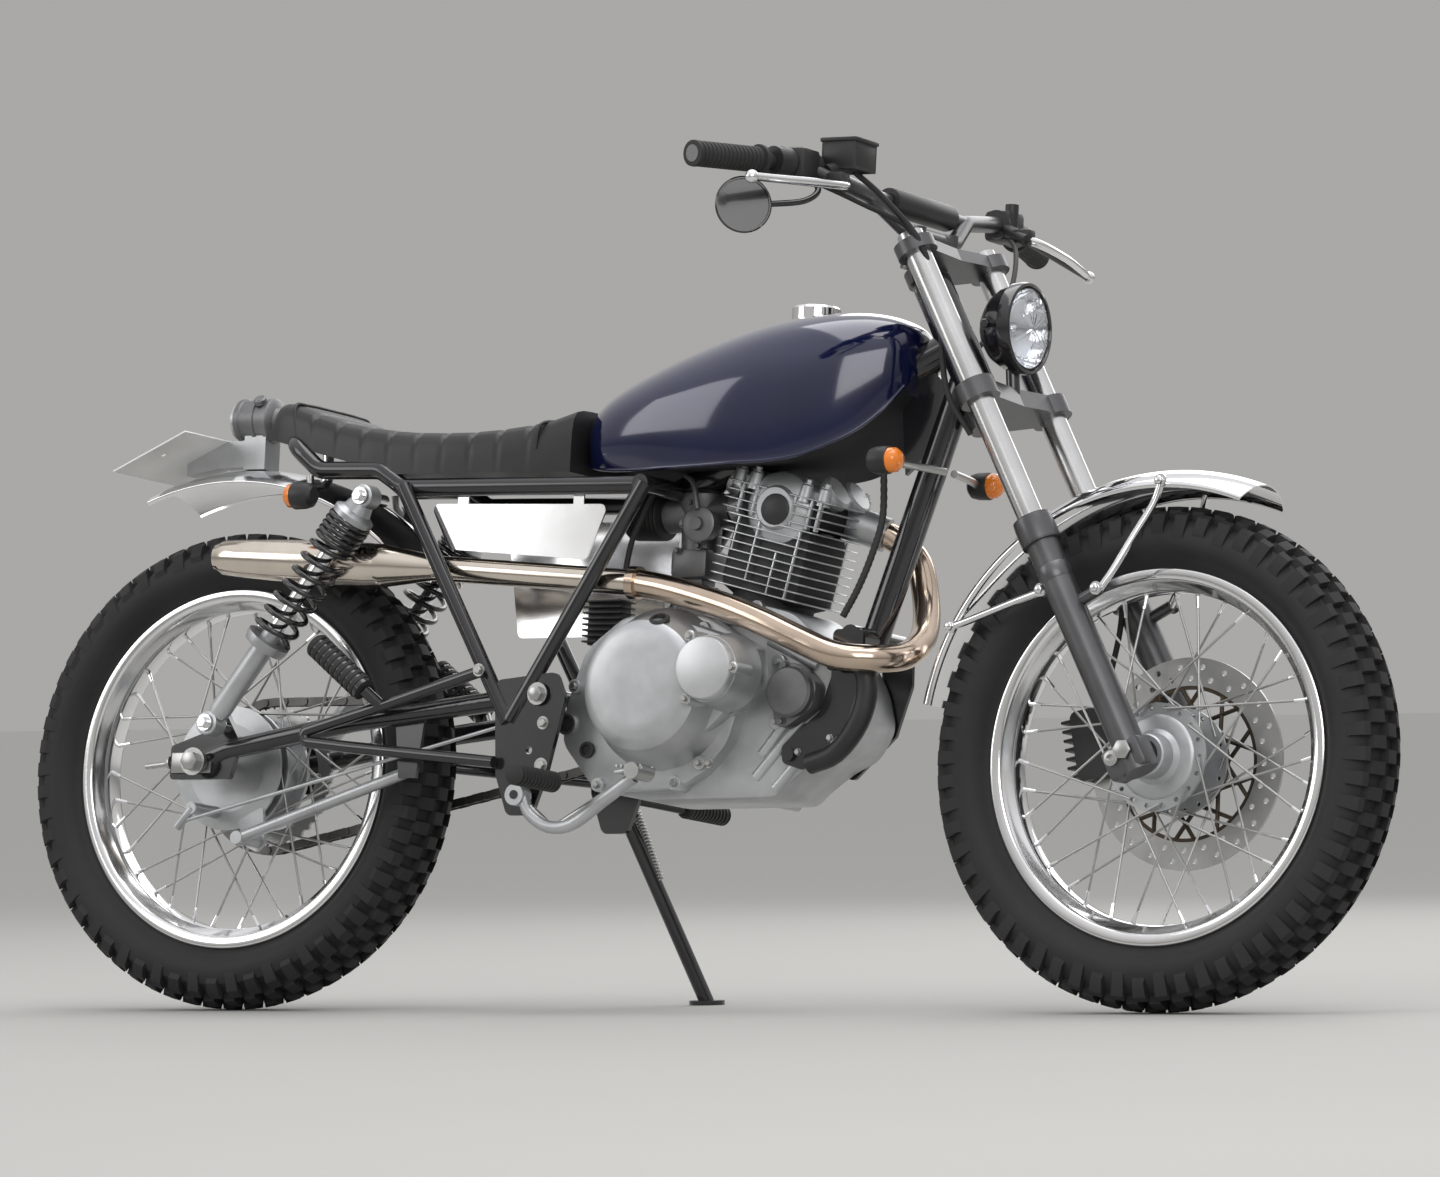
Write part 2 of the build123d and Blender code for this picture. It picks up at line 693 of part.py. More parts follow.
with BuildPart() as air_filter:
    rod((628.5, 0, 648), (570, 0, 652), 32)
    add(carburettor.part, mode=Mode.SUBTRACT)
keep(air_filter, "air_filter")

with BuildPart() as regulator:
    with Locations((560, -60, 530)):
        Box(60, 40, 60)
    side_plate([(560, 505), (596, 505), (640, 498), (606, 440)], -58, -52)
    add(crankcase.part, mode=Mode.SUBTRACT)
keep(regulator, "regulator")

# Exhaust

with BuildPart() as exhaust_header:
    pipe([(950, 42.5, 631.5), (988, 52, 608), (1022, 44, 530), (1052, -25, 472),
          (1040, -85, 447), (974, -116, 457), (869, -122, 506), (764, -130, 541),
          (688, -148, 551), (600, -160, 557)], 18, [30, 40, 40, 40, 40, 100, 200, 150])
    add(cylinder_head.part, mode=Mode.SUBTRACT)
    add(clutch_cover.part, mode=Mode.SUBTRACT)
keep(exhaust_header, "exhaust_header")

muffler_front = (600, -160, 557)
muffler_start = (395, -176, 568)
muffler_wide = (110, -182, 588)
muffler_end = (36, -182, 593)
with BuildPart() as muffler:
    rod(muffler_front, muffler_start, 18)
    rod(muffler_start, muffler_wide, 26)
    rod(muffler_wide, muffler_end, 20)
    side_plate([(390, 560), (410, 560), (420, 600), (400, 600)], -176, -131)
    add(frame_struts.part, mode=Mode.SUBTRACT)
    add(exhaust_header.part, mode=Mode.SUBTRACT)
    rod((60, -182, 591), (36, -182, 593), 12, mode=Mode.SUBTRACT)
keep(muffler, "muffler")

# Tank

# Stations: x, bottom z, side z, top z, half width at the bottom, half width, shoulder half width
tank_stations = [
    (551, 716, 745, 788, 48, 62, 40),
    (610, 700, 752, 828, 84, 96, 60),
    (700, 700, 765, 866, 108, 117, 74),
    (810, 708, 790, 902, 116, 125, 80),
    (905, 722, 805, 914, 106, 116, 72),
    (980, 764, 830, 912, 76, 86, 54),
    (1030, 822, 850, 892, 44, 54, 34),
]
with BuildPart() as tank:
    for x, bottom, side_z, top, low_half, half, shoulder in tank_stations:
        shoulder_z = side_z + (top - side_z) * 0.78
        with BuildSketch(Plane(origin=(x, 0, 0), x_dir=(0, 1, 0), z_dir=(1, 0, 0))):
            with BuildLine():
                Line((-low_half, bottom), (low_half, bottom))
                ThreePointArc((low_half, bottom), (half, side_z), (shoulder, shoulder_z))
                ThreePointArc((shoulder, shoulder_z), (0, top), (-shoulder, shoulder_z))
                ThreePointArc((-shoulder, shoulder_z), (-half, side_z), (-low_half, bottom))
            make_face()
    loft()
    side_plate([(540, 660), (540, 735), (660, 735), (1060, 905), (1100, 800), (1000, 660)],
               -34, 34, mode=Mode.SUBTRACT)
    add(seat_rails.part, mode=Mode.SUBTRACT)
    add(frame_backbone.part, mode=Mode.SUBTRACT)
keep(tank, "fuel_tank")

with BuildPart() as tank_cap:
    rod((862, 0, 900), (862, 0, 926), 32)
    chamfer(tank_cap.faces().sort_by(Axis.Z)[-1].edges(), 3)
    add(tank.part, mode=Mode.SUBTRACT)
keep(tank_cap, "tank_cap")

# Rear fender

rear_fender_crown = 408
with BuildPart() as rear_fender:
    arched_strip((0, rear_axle_height), rear_fender_crown, 386, 65, 2, 111, 70)
    rod((108, 0, 714.5), (108, 0, 752), 8)
    add(seat_rails.part, mode=Mode.SUBTRACT)
keep(rear_fender, "rear_fender")

# Seat

with BuildPart() as seat:
    with BuildSketch(Plane.XZ.offset(-115)) as seat_side:
        with BuildLine():
            Polyline((550.5, 702), (300, 702), (268, 728), (165, 730), (120, 742), (70, 748),
                     (66, 770), (84, 806), (104, 806), (156, 789), (253, 769), (348, 764),
                     (443, 766), (513, 775), (550.5, 788), close=True)
        make_face()
    extrude(amount=230)
    fillet(seat.edges().filter_by(GeomType.LINE).filter_by(lambda e: e.center().Z > 760
           and abs(e.center().Y) > 110), 12)
    add(seat_rails.part, mode=Mode.SUBTRACT)
    cross_bar(0, rear_axle_height, -68, 68, rear_fender_crown + 5, mode=Mode.SUBTRACT)
    add(tank.part, mode=Mode.SUBTRACT)
    add(rear_fender.part, mode=Mode.SUBTRACT)
keep(seat, "seat")

# Side panels

with BuildPart() as side_panels:
    side_plate([(339, 665), (616, 659), (586, 586), (371, 604)], -98, -95, corner=8)
    side_plate([(339, 665), (616, 659), (590, 540), (560, 508), (364, 508)], 95, 98, corner=8)
    for side in (-1, 1):
        for x in (390, 570):
            with Locations((x, side * 96.5, 670)):
                Box(16, 3, 24)
    add(seat_rails.part, mode=Mode.SUBTRACT)
keep(side_panels, "side_panels")

# Tail lamp, number plate, indicators

with BuildPart() as tail_lamp:
    rod((-30, 0, 798), (22, 0, 798), 28)
    rod((22, 0, 798), (49, 0, 798), 12)
    rod((-38, 0, 798), (-30, 0, 798), 25)
    with Locations((0, 0, 757)):
        Box(34, 36, 62)
    side_plate([(17, 735), (17, 776), (-52, 767.7), (-112, 740.3), (-112, 724), (-60, 733)],
               -12, 12)
    add(seat.part, mode=Mode.SUBTRACT)
    cross_bar(0, rear_axle_height, -40, 40, rear_fender_crown + seat_gap, mode=Mode.SUBTRACT)
keep(tail_lamp, "tail_lamp")

plate_tilt = 24.5
with BuildPart() as number_plate:
    with Locations(Location((-105.5, 0, 744.5), (0, -plate_tilt, 0))):
        Box(125, 230, 2)
        with Locations((0, -plate_hole_spread, 0), (0, plate_hole_spread, 0)):
            Cylinder(plate_hole_radius, 10, mode=Mode.SUBTRACT)
    add(tail_lamp.part, mode=Mode.SUBTRACT)
keep(number_plate, "number_plate")

with BuildPart() as indicators:
    for side in (-1, 1):
        rod((1030, side * 132, 702), (1079, side * 132, 702), 18)
        rod((1079, 0, 702), (1079, side * 132, 702), 5)
        rod((130, side * 132, 676), (176, side * 132, 676), 18)
        rod((150, side * 88, 676), (150, side * 132, 676), 5)
        rod((150, side * rail_spread, 676), (150, side * rail_spread, 706), 5)
    with Locations((1074, 0, 702)):
        Box(16, 24, 20)
    add(frame_downtube.part, mode=Mode.SUBTRACT)
    add(shock_bodies.part, mode=Mode.SUBTRACT)
    add(shock_springs.part, mode=Mode.SUBTRACT)
    add(seat_rails.part, mode=Mode.SUBTRACT)
keep(indicators, "indicators")

# Foot pegs, hangers, pedal, lever

with BuildPart() as foot_pegs:
    for side in (-1, 1):
        rod((595, side * 166, 285), (595, side * 262, 285), 13)
    add(frame_struts.part, mode=Mode.SUBTRACT)
keep(foot_pegs, "foot_pegs")

with BuildPart() as passenger_hangers:
    for side in (-1, 1):
        y = side * 133
        pipe([(455, y, 437), (280, y, 386), (146, y, 350), (250, y, 338), (480, y, 316)], 8,
             [60, 8, 60])
        rod((204, side * 150, 473), (282, side * 150, 412), 16)
        rod((282, side * 150, 412), (300, side * 133, 392), 8)
    add(frame_struts.part, mode=Mode.SUBTRACT)
    add(rear_axle.part, mode=Mode.SUBTRACT)
keep(passenger_hangers, "passenger_hangers")

with BuildPart() as foot_levers:
    cross_bar(*pedal_pivot, -158, -138, 11)
    pipe([(537, -148, 264.4), (586, -148, 225), (714, -148, 299)], 5, [20])
    rod((715, -128, 299), (715, -170, 299), 11)
    rod((668, 95, 340), (668, 134, 340), 9)
    rod((668, 122, 340), (768, 122, 288), 6)
    rod((768, 112, 288), (768, 165, 288), 9)
    add(frame_struts.part, mode=Mode.SUBTRACT)
    add(generator_cover.part, mode=Mode.SUBTRACT)
keep(foot_levers, "foot_levers")

# Side stand

stand_pivot = (520, 140, 270)
stand_axis = (0.114, 0.906, 0.408)
tyre_lift = crown_radius * (1 - math.cos(lean))
foot_reach = 238


def ground_height(y):
    """Height of the ground under a point of the upright model, once it leans."""
    return (y * math.sin(lean) - tyre_lift) / math.cos(lean)


with BuildPart() as side_stand:
    foot_spot = (600, foot_reach, ground_height(foot_reach))
    with Locations(Plane(origin=foot_spot, x_dir=(1, 0, 0),
                         z_dir=(0, -math.sin(lean), math.cos(lean)))):
        Cylinder(24, 6, align=(Align.CENTER, Align.CENTER, Align.MIN))
    rod(stand_pivot, (600, foot_reach, foot_spot[2] + 3), 10)
    ear_ends = [[at + way * 8 * along for at, along in zip(stand_pivot, stand_axis)]
                for way in (-1, 1)]
    rod(*ear_ends, 14)
    pin_ends = [[at + way * 12 * along for at, along in zip(stand_pivot, stand_axis)]
                for way in (-1, 1)]
    rod(*pin_ends, stand_pin_radius + turn_gap, mode=Mode.SUBTRACT)
    split(bisect_by=Plane(origin=foot_spot, x_dir=(1, 0, 0),
                          z_dir=(0, -math.sin(lean), math.cos(lean))), keep=Keep.TOP)
keep(side_stand, "side_stand")

# Lean the machine over and write every piece

leaned = Location((0, 0, tyre_lift), (-lean_angle, 0, 0))
box = Compound([piece.moved(leaned) for piece in finished]).bounding_box()
parked = Location((-box.center().X, -box.center().Y, 0)) * leaned
for piece in finished:
    placed = piece.moved(parked)
    placed.label = piece.label
    export_step(placed, f"parts/{piece.label}.step")
print("origin shift", round(-box.center().X, 3), round(-box.center().Y, 3))
print("size", box.size)
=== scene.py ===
import bpy
import math
from mathutils import Matrix, Vector


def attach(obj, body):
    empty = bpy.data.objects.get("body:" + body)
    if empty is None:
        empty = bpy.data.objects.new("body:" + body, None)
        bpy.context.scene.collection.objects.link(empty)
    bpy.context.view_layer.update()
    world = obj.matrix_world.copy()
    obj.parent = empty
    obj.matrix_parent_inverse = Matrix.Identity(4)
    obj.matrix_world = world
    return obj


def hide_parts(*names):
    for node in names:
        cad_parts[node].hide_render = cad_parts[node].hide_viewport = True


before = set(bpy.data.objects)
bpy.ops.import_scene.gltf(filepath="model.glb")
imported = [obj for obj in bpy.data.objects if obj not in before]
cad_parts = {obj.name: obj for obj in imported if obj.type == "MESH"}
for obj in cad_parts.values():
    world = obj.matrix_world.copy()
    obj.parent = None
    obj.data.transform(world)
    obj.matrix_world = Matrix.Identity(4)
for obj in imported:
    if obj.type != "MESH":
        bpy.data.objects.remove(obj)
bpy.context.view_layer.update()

# The machine is modelled upright, in millimetres from the ground under the rear axle,
# and laid over onto its stand at the end of each piece
parking = {
    "lean": 7.03,
    "crown": 80.0,        # tyre radius across the tread
    "shift": (-708.0, -129.795),
    "mm": 0.001,
}
leanAngle = math.radians(parking["lean"])
tyreLift = parking["crown"] * (1 - math.cos(leanAngle))
parked = (
    Matrix.Scale(parking["mm"], 4)
    @ Matrix.Translation((parking["shift"][0], parking["shift"][1], tyreLift))
    @ Matrix.Rotation(-leanAngle, 4, "X")
)

fork = {"rake": 28.0, "axle": (1413.0, 325.0), "offset": 40.0, "spread": 95.0}
rakeAngle = math.radians(fork["rake"])


# A point along the fork: forward of the legs, to the left, up from the axle
def onFork(forward, left, up):
    return Vector((
        fork["axle"][0] + forward * math.cos(rakeAngle) - up * math.sin(rakeAngle),
        left,
        fork["axle"][1] + forward * math.sin(rakeAngle) + up * math.cos(rakeAngle),
    ))


def clearSelection():
    for obj in bpy.context.selected_objects:
        obj.select_set(False)


def alone(obj):
    clearSelection()
    obj.select_set(True)
    bpy.context.view_layer.objects.active = obj


# Camera

photoCamera = {
    "target": (775.0, 0.0, 552.2),
    "distance": 13542.0,
    "azimuth": 31.06,
    "elevation": -0.43,
    "roll": -0.93,
    "lens": 259.3,
    "sensor": 36.0,
}


def addCamera():
    turn = math.radians(photoCamera["azimuth"])
    tilt = math.radians(photoCamera["elevation"])
    roll = math.radians(photoCamera["roll"])
    back = Vector((math.sin(turn) * math.cos(tilt), -math.cos(turn) * math.cos(tilt), math.sin(tilt)))
    right = (-back).cross(Vector((0, 0, 1))).normalized()
    up = right.cross(-back)
    side = right * math.cos(roll) + up * math.sin(roll)
    top = -right * math.sin(roll) + up * math.cos(roll)
    spot = Vector(photoCamera["target"]) + back * photoCamera["distance"]
    spot += Vector((parking["shift"][0], parking["shift"][1], tyreLift))
    data = bpy.data.cameras.new("photoCamera")
    data.lens = photoCamera["lens"]
    data.sensor_width = photoCamera["sensor"]
    data.clip_end = 200
    camera = bpy.data.objects.new("photoCamera", data)
    bpy.context.scene.collection.objects.link(camera)
    camera.matrix_world = Matrix((
        (side.x, top.x, back.x, spot.x * parking["mm"]),
        (side.y, top.y, back.y, spot.y * parking["mm"]),
        (side.z, top.z, back.z, spot.z * parking["mm"]),
        (0, 0, 0, 1),
    ))
    bpy.context.scene.camera = camera


addCamera()
print("camera set")

# Stage and light

studio = {
    "floorSize": 120.0,
    "floorColour": (0.42, 0.415, 0.40, 1),
    "backdrop": (0.40, 0.395, 0.385, 1),
    "fill": 0.75,
}
# name: place, aim, width, height, watts
softboxes = {
    "overhead": ((0.3, 0.2, 4.2), (0.0, 0.0, 0.5), 4.5, 2.6, 90),
    "frontRight": ((3.2, -4.2, 2.6), (0.1, 0.0, 0.5), 3.2, 2.4, 70),
    "rearRight": ((-3.8, -3.4, 2.4), (0.0, 0.0, 0.5), 2.6, 2.2, 40),
    "left": ((-0.5, 4.6, 2.8), (0.0, 0.0, 0.5), 4.0, 2.4, 60),
}


def addStage():
    clearSelection()
    bpy.ops.mesh.primitive_plane_add(size=studio["floorSize"], location=(0, 0, 0))
    floor = bpy.context.object
    floor.name = "studioFloor"
    material = bpy.data.materials.new("studioFloor")
    material.use_nodes = True
    shader = material.node_tree.nodes["Principled BSDF"]
    shader.inputs["Base Color"].default_value = studio["floorColour"]
    shader.inputs["Roughness"].default_value = 0.85
    floor.data.materials.append(material)
    world = bpy.data.worlds.new("studio")
    bpy.context.scene.world = world
    world.use_nodes = True
    nodes = world.node_tree.nodes
    links = world.node_tree.links
    background = nodes["Background"]
    seen = nodes.new("ShaderNodeBackground")
    seen.inputs["Color"].default_value = studio["backdrop"]
    seen.inputs["Strength"].default_value = 1.0
    background.inputs["Color"].default_value = (1, 1, 1, 1)
    background.inputs["Strength"].default_value = studio["fill"]
    path = nodes.new("ShaderNodeLightPath")
    glossOrGlass = nodes.new("ShaderNodeMath")
    glossOrGlass.operation = "MAXIMUM"
    links.new(path.outputs["Is Glossy Ray"], glossOrGlass.inputs[0])
    links.new(path.outputs["Is Transmission Ray"], glossOrGlass.inputs[1])
    where = nodes.new("ShaderNodeTexCoord")
    split = nodes.new("ShaderNodeSeparateXYZ")
    sky = nodes.new("ShaderNodeValToRGB")
    for element, (position, grey) in zip(sky.color_ramp.elements, ((0.0, 0.20), (0.75, 0.95))):
        element.position = position
        element.color = (grey, grey, grey * 1.02, 1)
    bank = sky.color_ramp.elements.new(0.12)
    bank.color = (0.42, 0.41, 0.39, 1)
    reflected = nodes.new("ShaderNodeBackground")
    links.new(where.outputs["Generated"], split.inputs[0])
    links.new(split.outputs["Z"], sky.inputs["Fac"])
    links.new(sky.outputs["Color"], reflected.inputs["Color"])
    inGloss = nodes.new("ShaderNodeMixShader")
    links.new(glossOrGlass.outputs[0], inGloss.inputs["Fac"])
    links.new(background.outputs[0], inGloss.inputs[1])
    links.new(reflected.outputs[0], inGloss.inputs[2])
    mix = nodes.new("ShaderNodeMixShader")
    links.new(path.outputs["Is Camera Ray"], mix.inputs["Fac"])
    links.new(inGloss.outputs[0], mix.inputs[1])
    links.new(seen.outputs[0], mix.inputs[2])
    links.new(mix.outputs[0], nodes["World Output"].inputs["Surface"])


def addSoftbox(name, place, aim, width, height, watts):
    data = bpy.data.lights.new(name, "AREA")
    data.shape = "RECTANGLE"
    data.size = width
    data.size_y = height
    data.energy = watts
    lamp = bpy.data.objects.new(name, data)
    bpy.context.scene.collection.objects.link(lamp)
    lamp.location = place
    lamp.rotation_euler = (Vector(aim) - Vector(place)).to_track_quat("-Z", "Y").to_euler()


addStage()
for name, settings in softboxes.items():
    addSoftbox(name, *settings)
bpy.context.scene.view_settings.view_transform = "Standard"
print("stage and light set")

# Materials: colour, roughness, metal, coat, then scale and depth of the grain, and patchiness
finishes = {
    "blackGloss": ((0.012, 0.012, 0.014), 0.18, 0.0, 0.6, 260, 0.015, 0.25),
    "satinBlack": ((0.018, 0.018, 0.019), 0.45, 0.0, 0.0, 900, 0.08, 0.3),
    "navyGloss": ((0.003, 0.006, 0.042), 0.12, 0.15, 1.0, 1400, 0.004, 0.15),
    "engineSilver": ((0.50, 0.51, 0.52), 0.42, 0.85, 0.0, 700, 0.10, 0.22),
    # painted shade under the tank, partly also its own rough unpolished underside
    "tankUndersideShade": ((0.006, 0.006, 0.008), 0.85, 0.0, 0.0, 500, 0.1, 0.2),
    "darkBronze": ((0.07, 0.055, 0.04), 0.4, 0.8, 0.0, 500, 0.05, 0.3),
    "finShadow": ((0.05, 0.05, 0.052), 0.6, 0.5, 0.0, 800, 0.1, 0.3),
    "finSilver": ((0.62, 0.63, 0.64), 0.34, 0.9, 0.0, 600, 0.05, 0.15),
    "capSilver": ((0.60, 0.61, 0.62), 0.38, 0.85, 0.0, 900, 0.12, 0.12),
    "darkCasting": ((0.20, 0.20, 0.205), 0.45, 0.8, 0.0, 800, 0.12, 0.3),
    "chainSteel": ((0.14, 0.135, 0.13), 0.36, 0.9, 0.0, 500, 0.05, 0.3),
    "polished": ((0.86, 0.86, 0.87), 0.12, 1.0, 0.0, 300, 0.01, 0.06),
    "stainless": ((0.70, 0.63, 0.55), 0.14, 1.0, 0.0, 200, 0.01, 0.1),
    "bronze": ((0.62, 0.50, 0.40), 0.16, 1.0, 0.0, 200, 0.01, 0.12),
    "chrome": ((0.82, 0.82, 0.83), 0.06, 1.0, 0.0, 200, 0.004, 0.03),
    "satinChrome": ((0.62, 0.62, 0.62), 0.2, 1.0, 0.0, 300, 0.01, 0.08),
    "steel": ((0.45, 0.45, 0.44), 0.32, 1.0, 0.0, 500, 0.05, 0.15),
    "forkGrey": ((0.12, 0.12, 0.125), 0.34, 0.8, 0.1, 800, 0.05, 0.15),
    "tyreRubber": ((0.013, 0.013, 0.014), 0.68, 0.0, 0.0, 420, 0.22, 0.4),
    "gripRubber": ((0.016, 0.016, 0.016), 0.6, 0.0, 0.0, 900, 0.2, 0.3),
    "leather": ((0.018, 0.018, 0.019), 0.42, 0.0, 0.0, 620, 0.25, 0.3),
    "plateWhite": ((0.74, 0.74, 0.72), 0.4, 0.0, 0.2, 500, 0.02, 0.05),
    "orangeLens": ((0.85, 0.23, 0.02), 0.12, 0.0, 0.5, 300, 0.03, 0.1),
}
materials = {}


def makeFinish(name, colour, rough, metal, coat, grainScale, grainDepth, patchy):
    material = bpy.data.materials.new(name)
    material.use_nodes = True
    nodes = material.node_tree.nodes
    links = material.node_tree.links
    shader = nodes["Principled BSDF"]
    shader.inputs["Metallic"].default_value = metal
    shader.inputs["Coat Weight"].default_value = coat
    shader.inputs["Coat Roughness"].default_value = 0.06
    where = nodes.new("ShaderNodeTexCoord")
    grain = nodes.new("ShaderNodeTexNoise")
    grain.inputs["Scale"].default_value = grainScale
    grain.inputs["Detail"].default_value = 3
    patches = nodes.new("ShaderNodeTexNoise")
    patches.inputs["Scale"].default_value = 14
    patches.inputs["Detail"].default_value = 4
    ramp = nodes.new("ShaderNodeValToRGB")
    ramp.color_ramp.elements[0].position = 0.3
    ramp.color_ramp.elements[1].position = 0.75
    ramp.color_ramp.elements[0].color = [c * (1 - patchy) for c in colour] + [1]
    ramp.color_ramp.elements[1].color = [min(1, c * (1 + patchy)) for c in colour] + [1]
    shine = nodes.new("ShaderNodeMapRange")
    shine.inputs["To Min"].default_value = rough * 0.85
    shine.inputs["To Max"].default_value = min(1, rough * 1.2)
    bump = nodes.new("ShaderNodeBump")
    bump.inputs["Strength"].default_value = grainDepth
    bump.inputs["Distance"].default_value = 0.0006
    links.new(where.outputs["Object"], grain.inputs["Vector"])
    links.new(where.outputs["Object"], patches.inputs["Vector"])
    links.new(patches.outputs["Fac"], ramp.inputs["Fac"])
    links.new(ramp.outputs["Color"], shader.inputs["Base Color"])
    links.new(patches.outputs["Fac"], shine.inputs["Value"])
    links.new(shine.outputs["Result"], shader.inputs["Roughness"])
    links.new(grain.outputs["Fac"], bump.inputs["Height"])
    links.new(bump.outputs["Normal"], shader.inputs["Normal"])
    materials[name] = material


for name, look in finishes.items():
    makeFinish(name, *look)


def makeGlass():
    material = bpy.data.materials.new("clearGlass")
    material.use_nodes = True
    shader = material.node_tree.nodes["Principled BSDF"]
    shader.inputs["Base Color"].default_value = (0.95, 0.97, 1.0, 1)
    shader.inputs["Roughness"].default_value = 0.03
    shader.inputs["Transmission Weight"].default_value = 1.0
    shader.inputs["IOR"].default_value = 1.45
    materials["clearGlass"] = material


makeGlass()

# Which finish each carried-over node wears
nodeFinish = {
    "blackGloss": ["frame_backbone", "frame_downtube", "seat_rails", "frame_struts", "swingarm",
                   "passenger_hangers", "side_stand"],
    "satinBlack": ["hand_controls", "brake_caliper"],
    "engineSilver": ["rear_hub", "rear_brake", "tail_lamp"],
    "polished": ["side_panels"],
    "chrome": ["tank_cap"],
    "satinChrome": ["fork_stanchions"],
    "steel": ["front_spokes", "rear_spokes", "front_axle", "rear_axle", "foot_levers"],
    "forkGrey": ["fork_clamps", "fork_sliders", "handlebar"],
    "plateWhite": ["number_plate"],
}


def wear(obj, finish):
    obj.data.materials.clear()
    obj.data.materials.append(materials[finish])


for finish, names in nodeFinish.items():
    for nodeName in names:
        node = bpy.data.objects[nodeName]
        if not node.material_slots:
            node.data.materials.append(materials[finish])
        for slot in node.material_slots:
            slot.material = materials[finish]
print("materials set")

# A piece is a list of parts, modelled one by one, then joined and laid over with the machine


# A frame whose z runs along the axis: for turned and drilled parts
def onAxis(centre, axis):
    turn = Vector(axis).normalized().to_track_quat("Z", "Y").to_matrix().to_4x4()
    return Matrix.Translation(Vector(centre)) @ turn


def addPart(parts, data, place=None):
    if place:
        data.transform(place)
    part = bpy.data.objects.new("part", data)
    bpy.context.scene.collection.objects.link(part)
    parts.append(part)


# A skin over rings of points with the same count, closed at both ends unless it runs round
def skin(parts, rings, ends=True):
    count = len(rings[0])
    points = [point for ring in rings for point in ring]
    faces = [(row * count + i, row * count + (i + 1) % count,
              (row + 1) * count + (i + 1) % count, (row + 1) * count + i)
             for row in range(len(rings) - 1) for i in range(count)]
    if ends:
        faces += [tuple(range(count)), tuple(range(len(points) - count, len(points)))]
    data = bpy.data.meshes.new("part")
    data.from_pydata(points, [], faces)
    addPart(parts, data)


def joinParts(name, parts):
    clearSelection()
    for part in parts:
        part.select_set(True)
    bpy.context.view_layer.objects.active = parts[0]
    if len(parts) > 1:
        bpy.ops.object.join()
    bpy.ops.object.mode_set(mode="EDIT")
    bpy.ops.mesh.select_all(action="SELECT")
    bpy.ops.mesh.remove_doubles(threshold=0.01)
    bpy.ops.mesh.normals_make_consistent(inside=False)
    bpy.ops.object.mode_set(mode="OBJECT")
    parts[0].name = parts[0].data.name = name
    parts[0].data.transform(parked)
    return parts[0]


def finishMesh(name, parts, body, finish, nodes=(), smooth=35):
    obj = joinParts(name, parts)
    wear(obj, finish)
    alone(obj)
    if smooth:
        bpy.ops.object.shade_smooth_by_angle(angle=math.radians(smooth))
    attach(obj, body)
    if nodes:
        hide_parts(*nodes)
    return obj


# A profile drawn point by point from one vertex, then spun about z
def spinProfile(points, steps):
    clearSelection()
    bpy.ops.mesh.primitive_plane_add(size=1, calc_uvs=False)
    bpy.ops.object.mode_set(mode="EDIT")
    bpy.ops.mesh.merge(type="CENTER")
    bpy.ops.transform.translate(value=points[0])
    for here, there in zip(points, points[1:]):
        bpy.ops.mesh.extrude_region_move(TRANSFORM_OT_translate={"value": there - here})
    bpy.ops.mesh.select_all(action="SELECT")
    bpy.ops.mesh.spin(steps=steps, angle=2 * math.pi, center=(0, 0, 0), axis=(0, 0, 1))
    bpy.ops.object.mode_set(mode="OBJECT")
    spun = bpy.context.object
    form = spun.data
    bpy.data.objects.remove(spun)
    return form


turnedForms = {}    # each turned form is spun once and copied to every place it has


# A turned form about an axis through the centre: the profile is (along, radius)
def lathe(parts, profile, centre, axis, steps=64, closed=False):
    drawn = list(profile) + ([profile[0]] if closed else [])
    key = (tuple(drawn), steps)
    if key not in turnedForms:
        turnedForms[key] = spinProfile([Vector((r, 0, a)) for a, r in drawn], steps)
    addPart(parts, turnedForms[key].copy(), onAxis(centre, axis))


# The same about an axle: the profile is (y, radius)
def wheelLathe(parts, profile, wheel, steps=160, closed=False):
    lathe(parts, profile, (wheel["x"], 0, wheel["z"]), (0, 1, 0), steps, closed)


# Points along a soft curve through the given ones
def smoothRoute(points, fine=6):
    spots = [Vector(p) for p in points]
    ends = [spots[0] * 2 - spots[1]] + spots + [spots[-1] * 2 - spots[-2]]
    route = []
    for i in range(1, len(ends) - 2):
        a, b, c, d = ends[i - 1:i + 3]
        for step in range(fine):
            t = step / fine
            route.append(0.5 * ((2 * b) + (c - a) * t + (2 * a - 5 * b + 4 * c - d) * t * t
                                + (3 * b - a - 3 * c + d) * t ** 3))
    route.append(spots[-1])
    return route


# A round tube along a route; its radius is one number or a list with one for each point
def tube(parts, route, radius, sides=14):
    route = [Vector(p) for p in route]
    radii = radius if isinstance(radius, list) else [radius] * len(route)
    along = (route[1] - route[0]).normalized()
    out = along.orthogonal().normalized()
    rings = []
    for i, spot in enumerate(route):
        before = route[max(i - 1, 0)]
        after = route[min(i + 1, len(route) - 1)]
        along = (after - before).normalized()
        out = (out - along * out.dot(along)).normalized()
        up = along.cross(out)
        ring = []
        for side in range(sides):
            angle = 2 * math.pi * side / sides
            ring.append(spot + (out * math.cos(angle) + up * math.sin(angle)) * radii[i])
        rings.append(ring)
    skin(parts, rings)


# A box with softened edges
def block(parts, centre, size, bevel=1.5, turn=None):
    clearSelection()
    bpy.ops.mesh.primitive_cube_add(size=1, calc_uvs=False)
    bpy.ops.object.mode_set(mode="EDIT")
    bpy.ops.transform.resize(value=size, center_override=(0, 0, 0))
    bpy.ops.mesh.bevel(offset=bevel, segments=2, profile=0.5, affect="EDGES")
    bpy.ops.object.mode_set(mode="OBJECT")
    box = bpy.context.object
    box.data.transform(Matrix.Translation(Vector(centre)) @ (turn or Matrix()))
    parts.append(box)


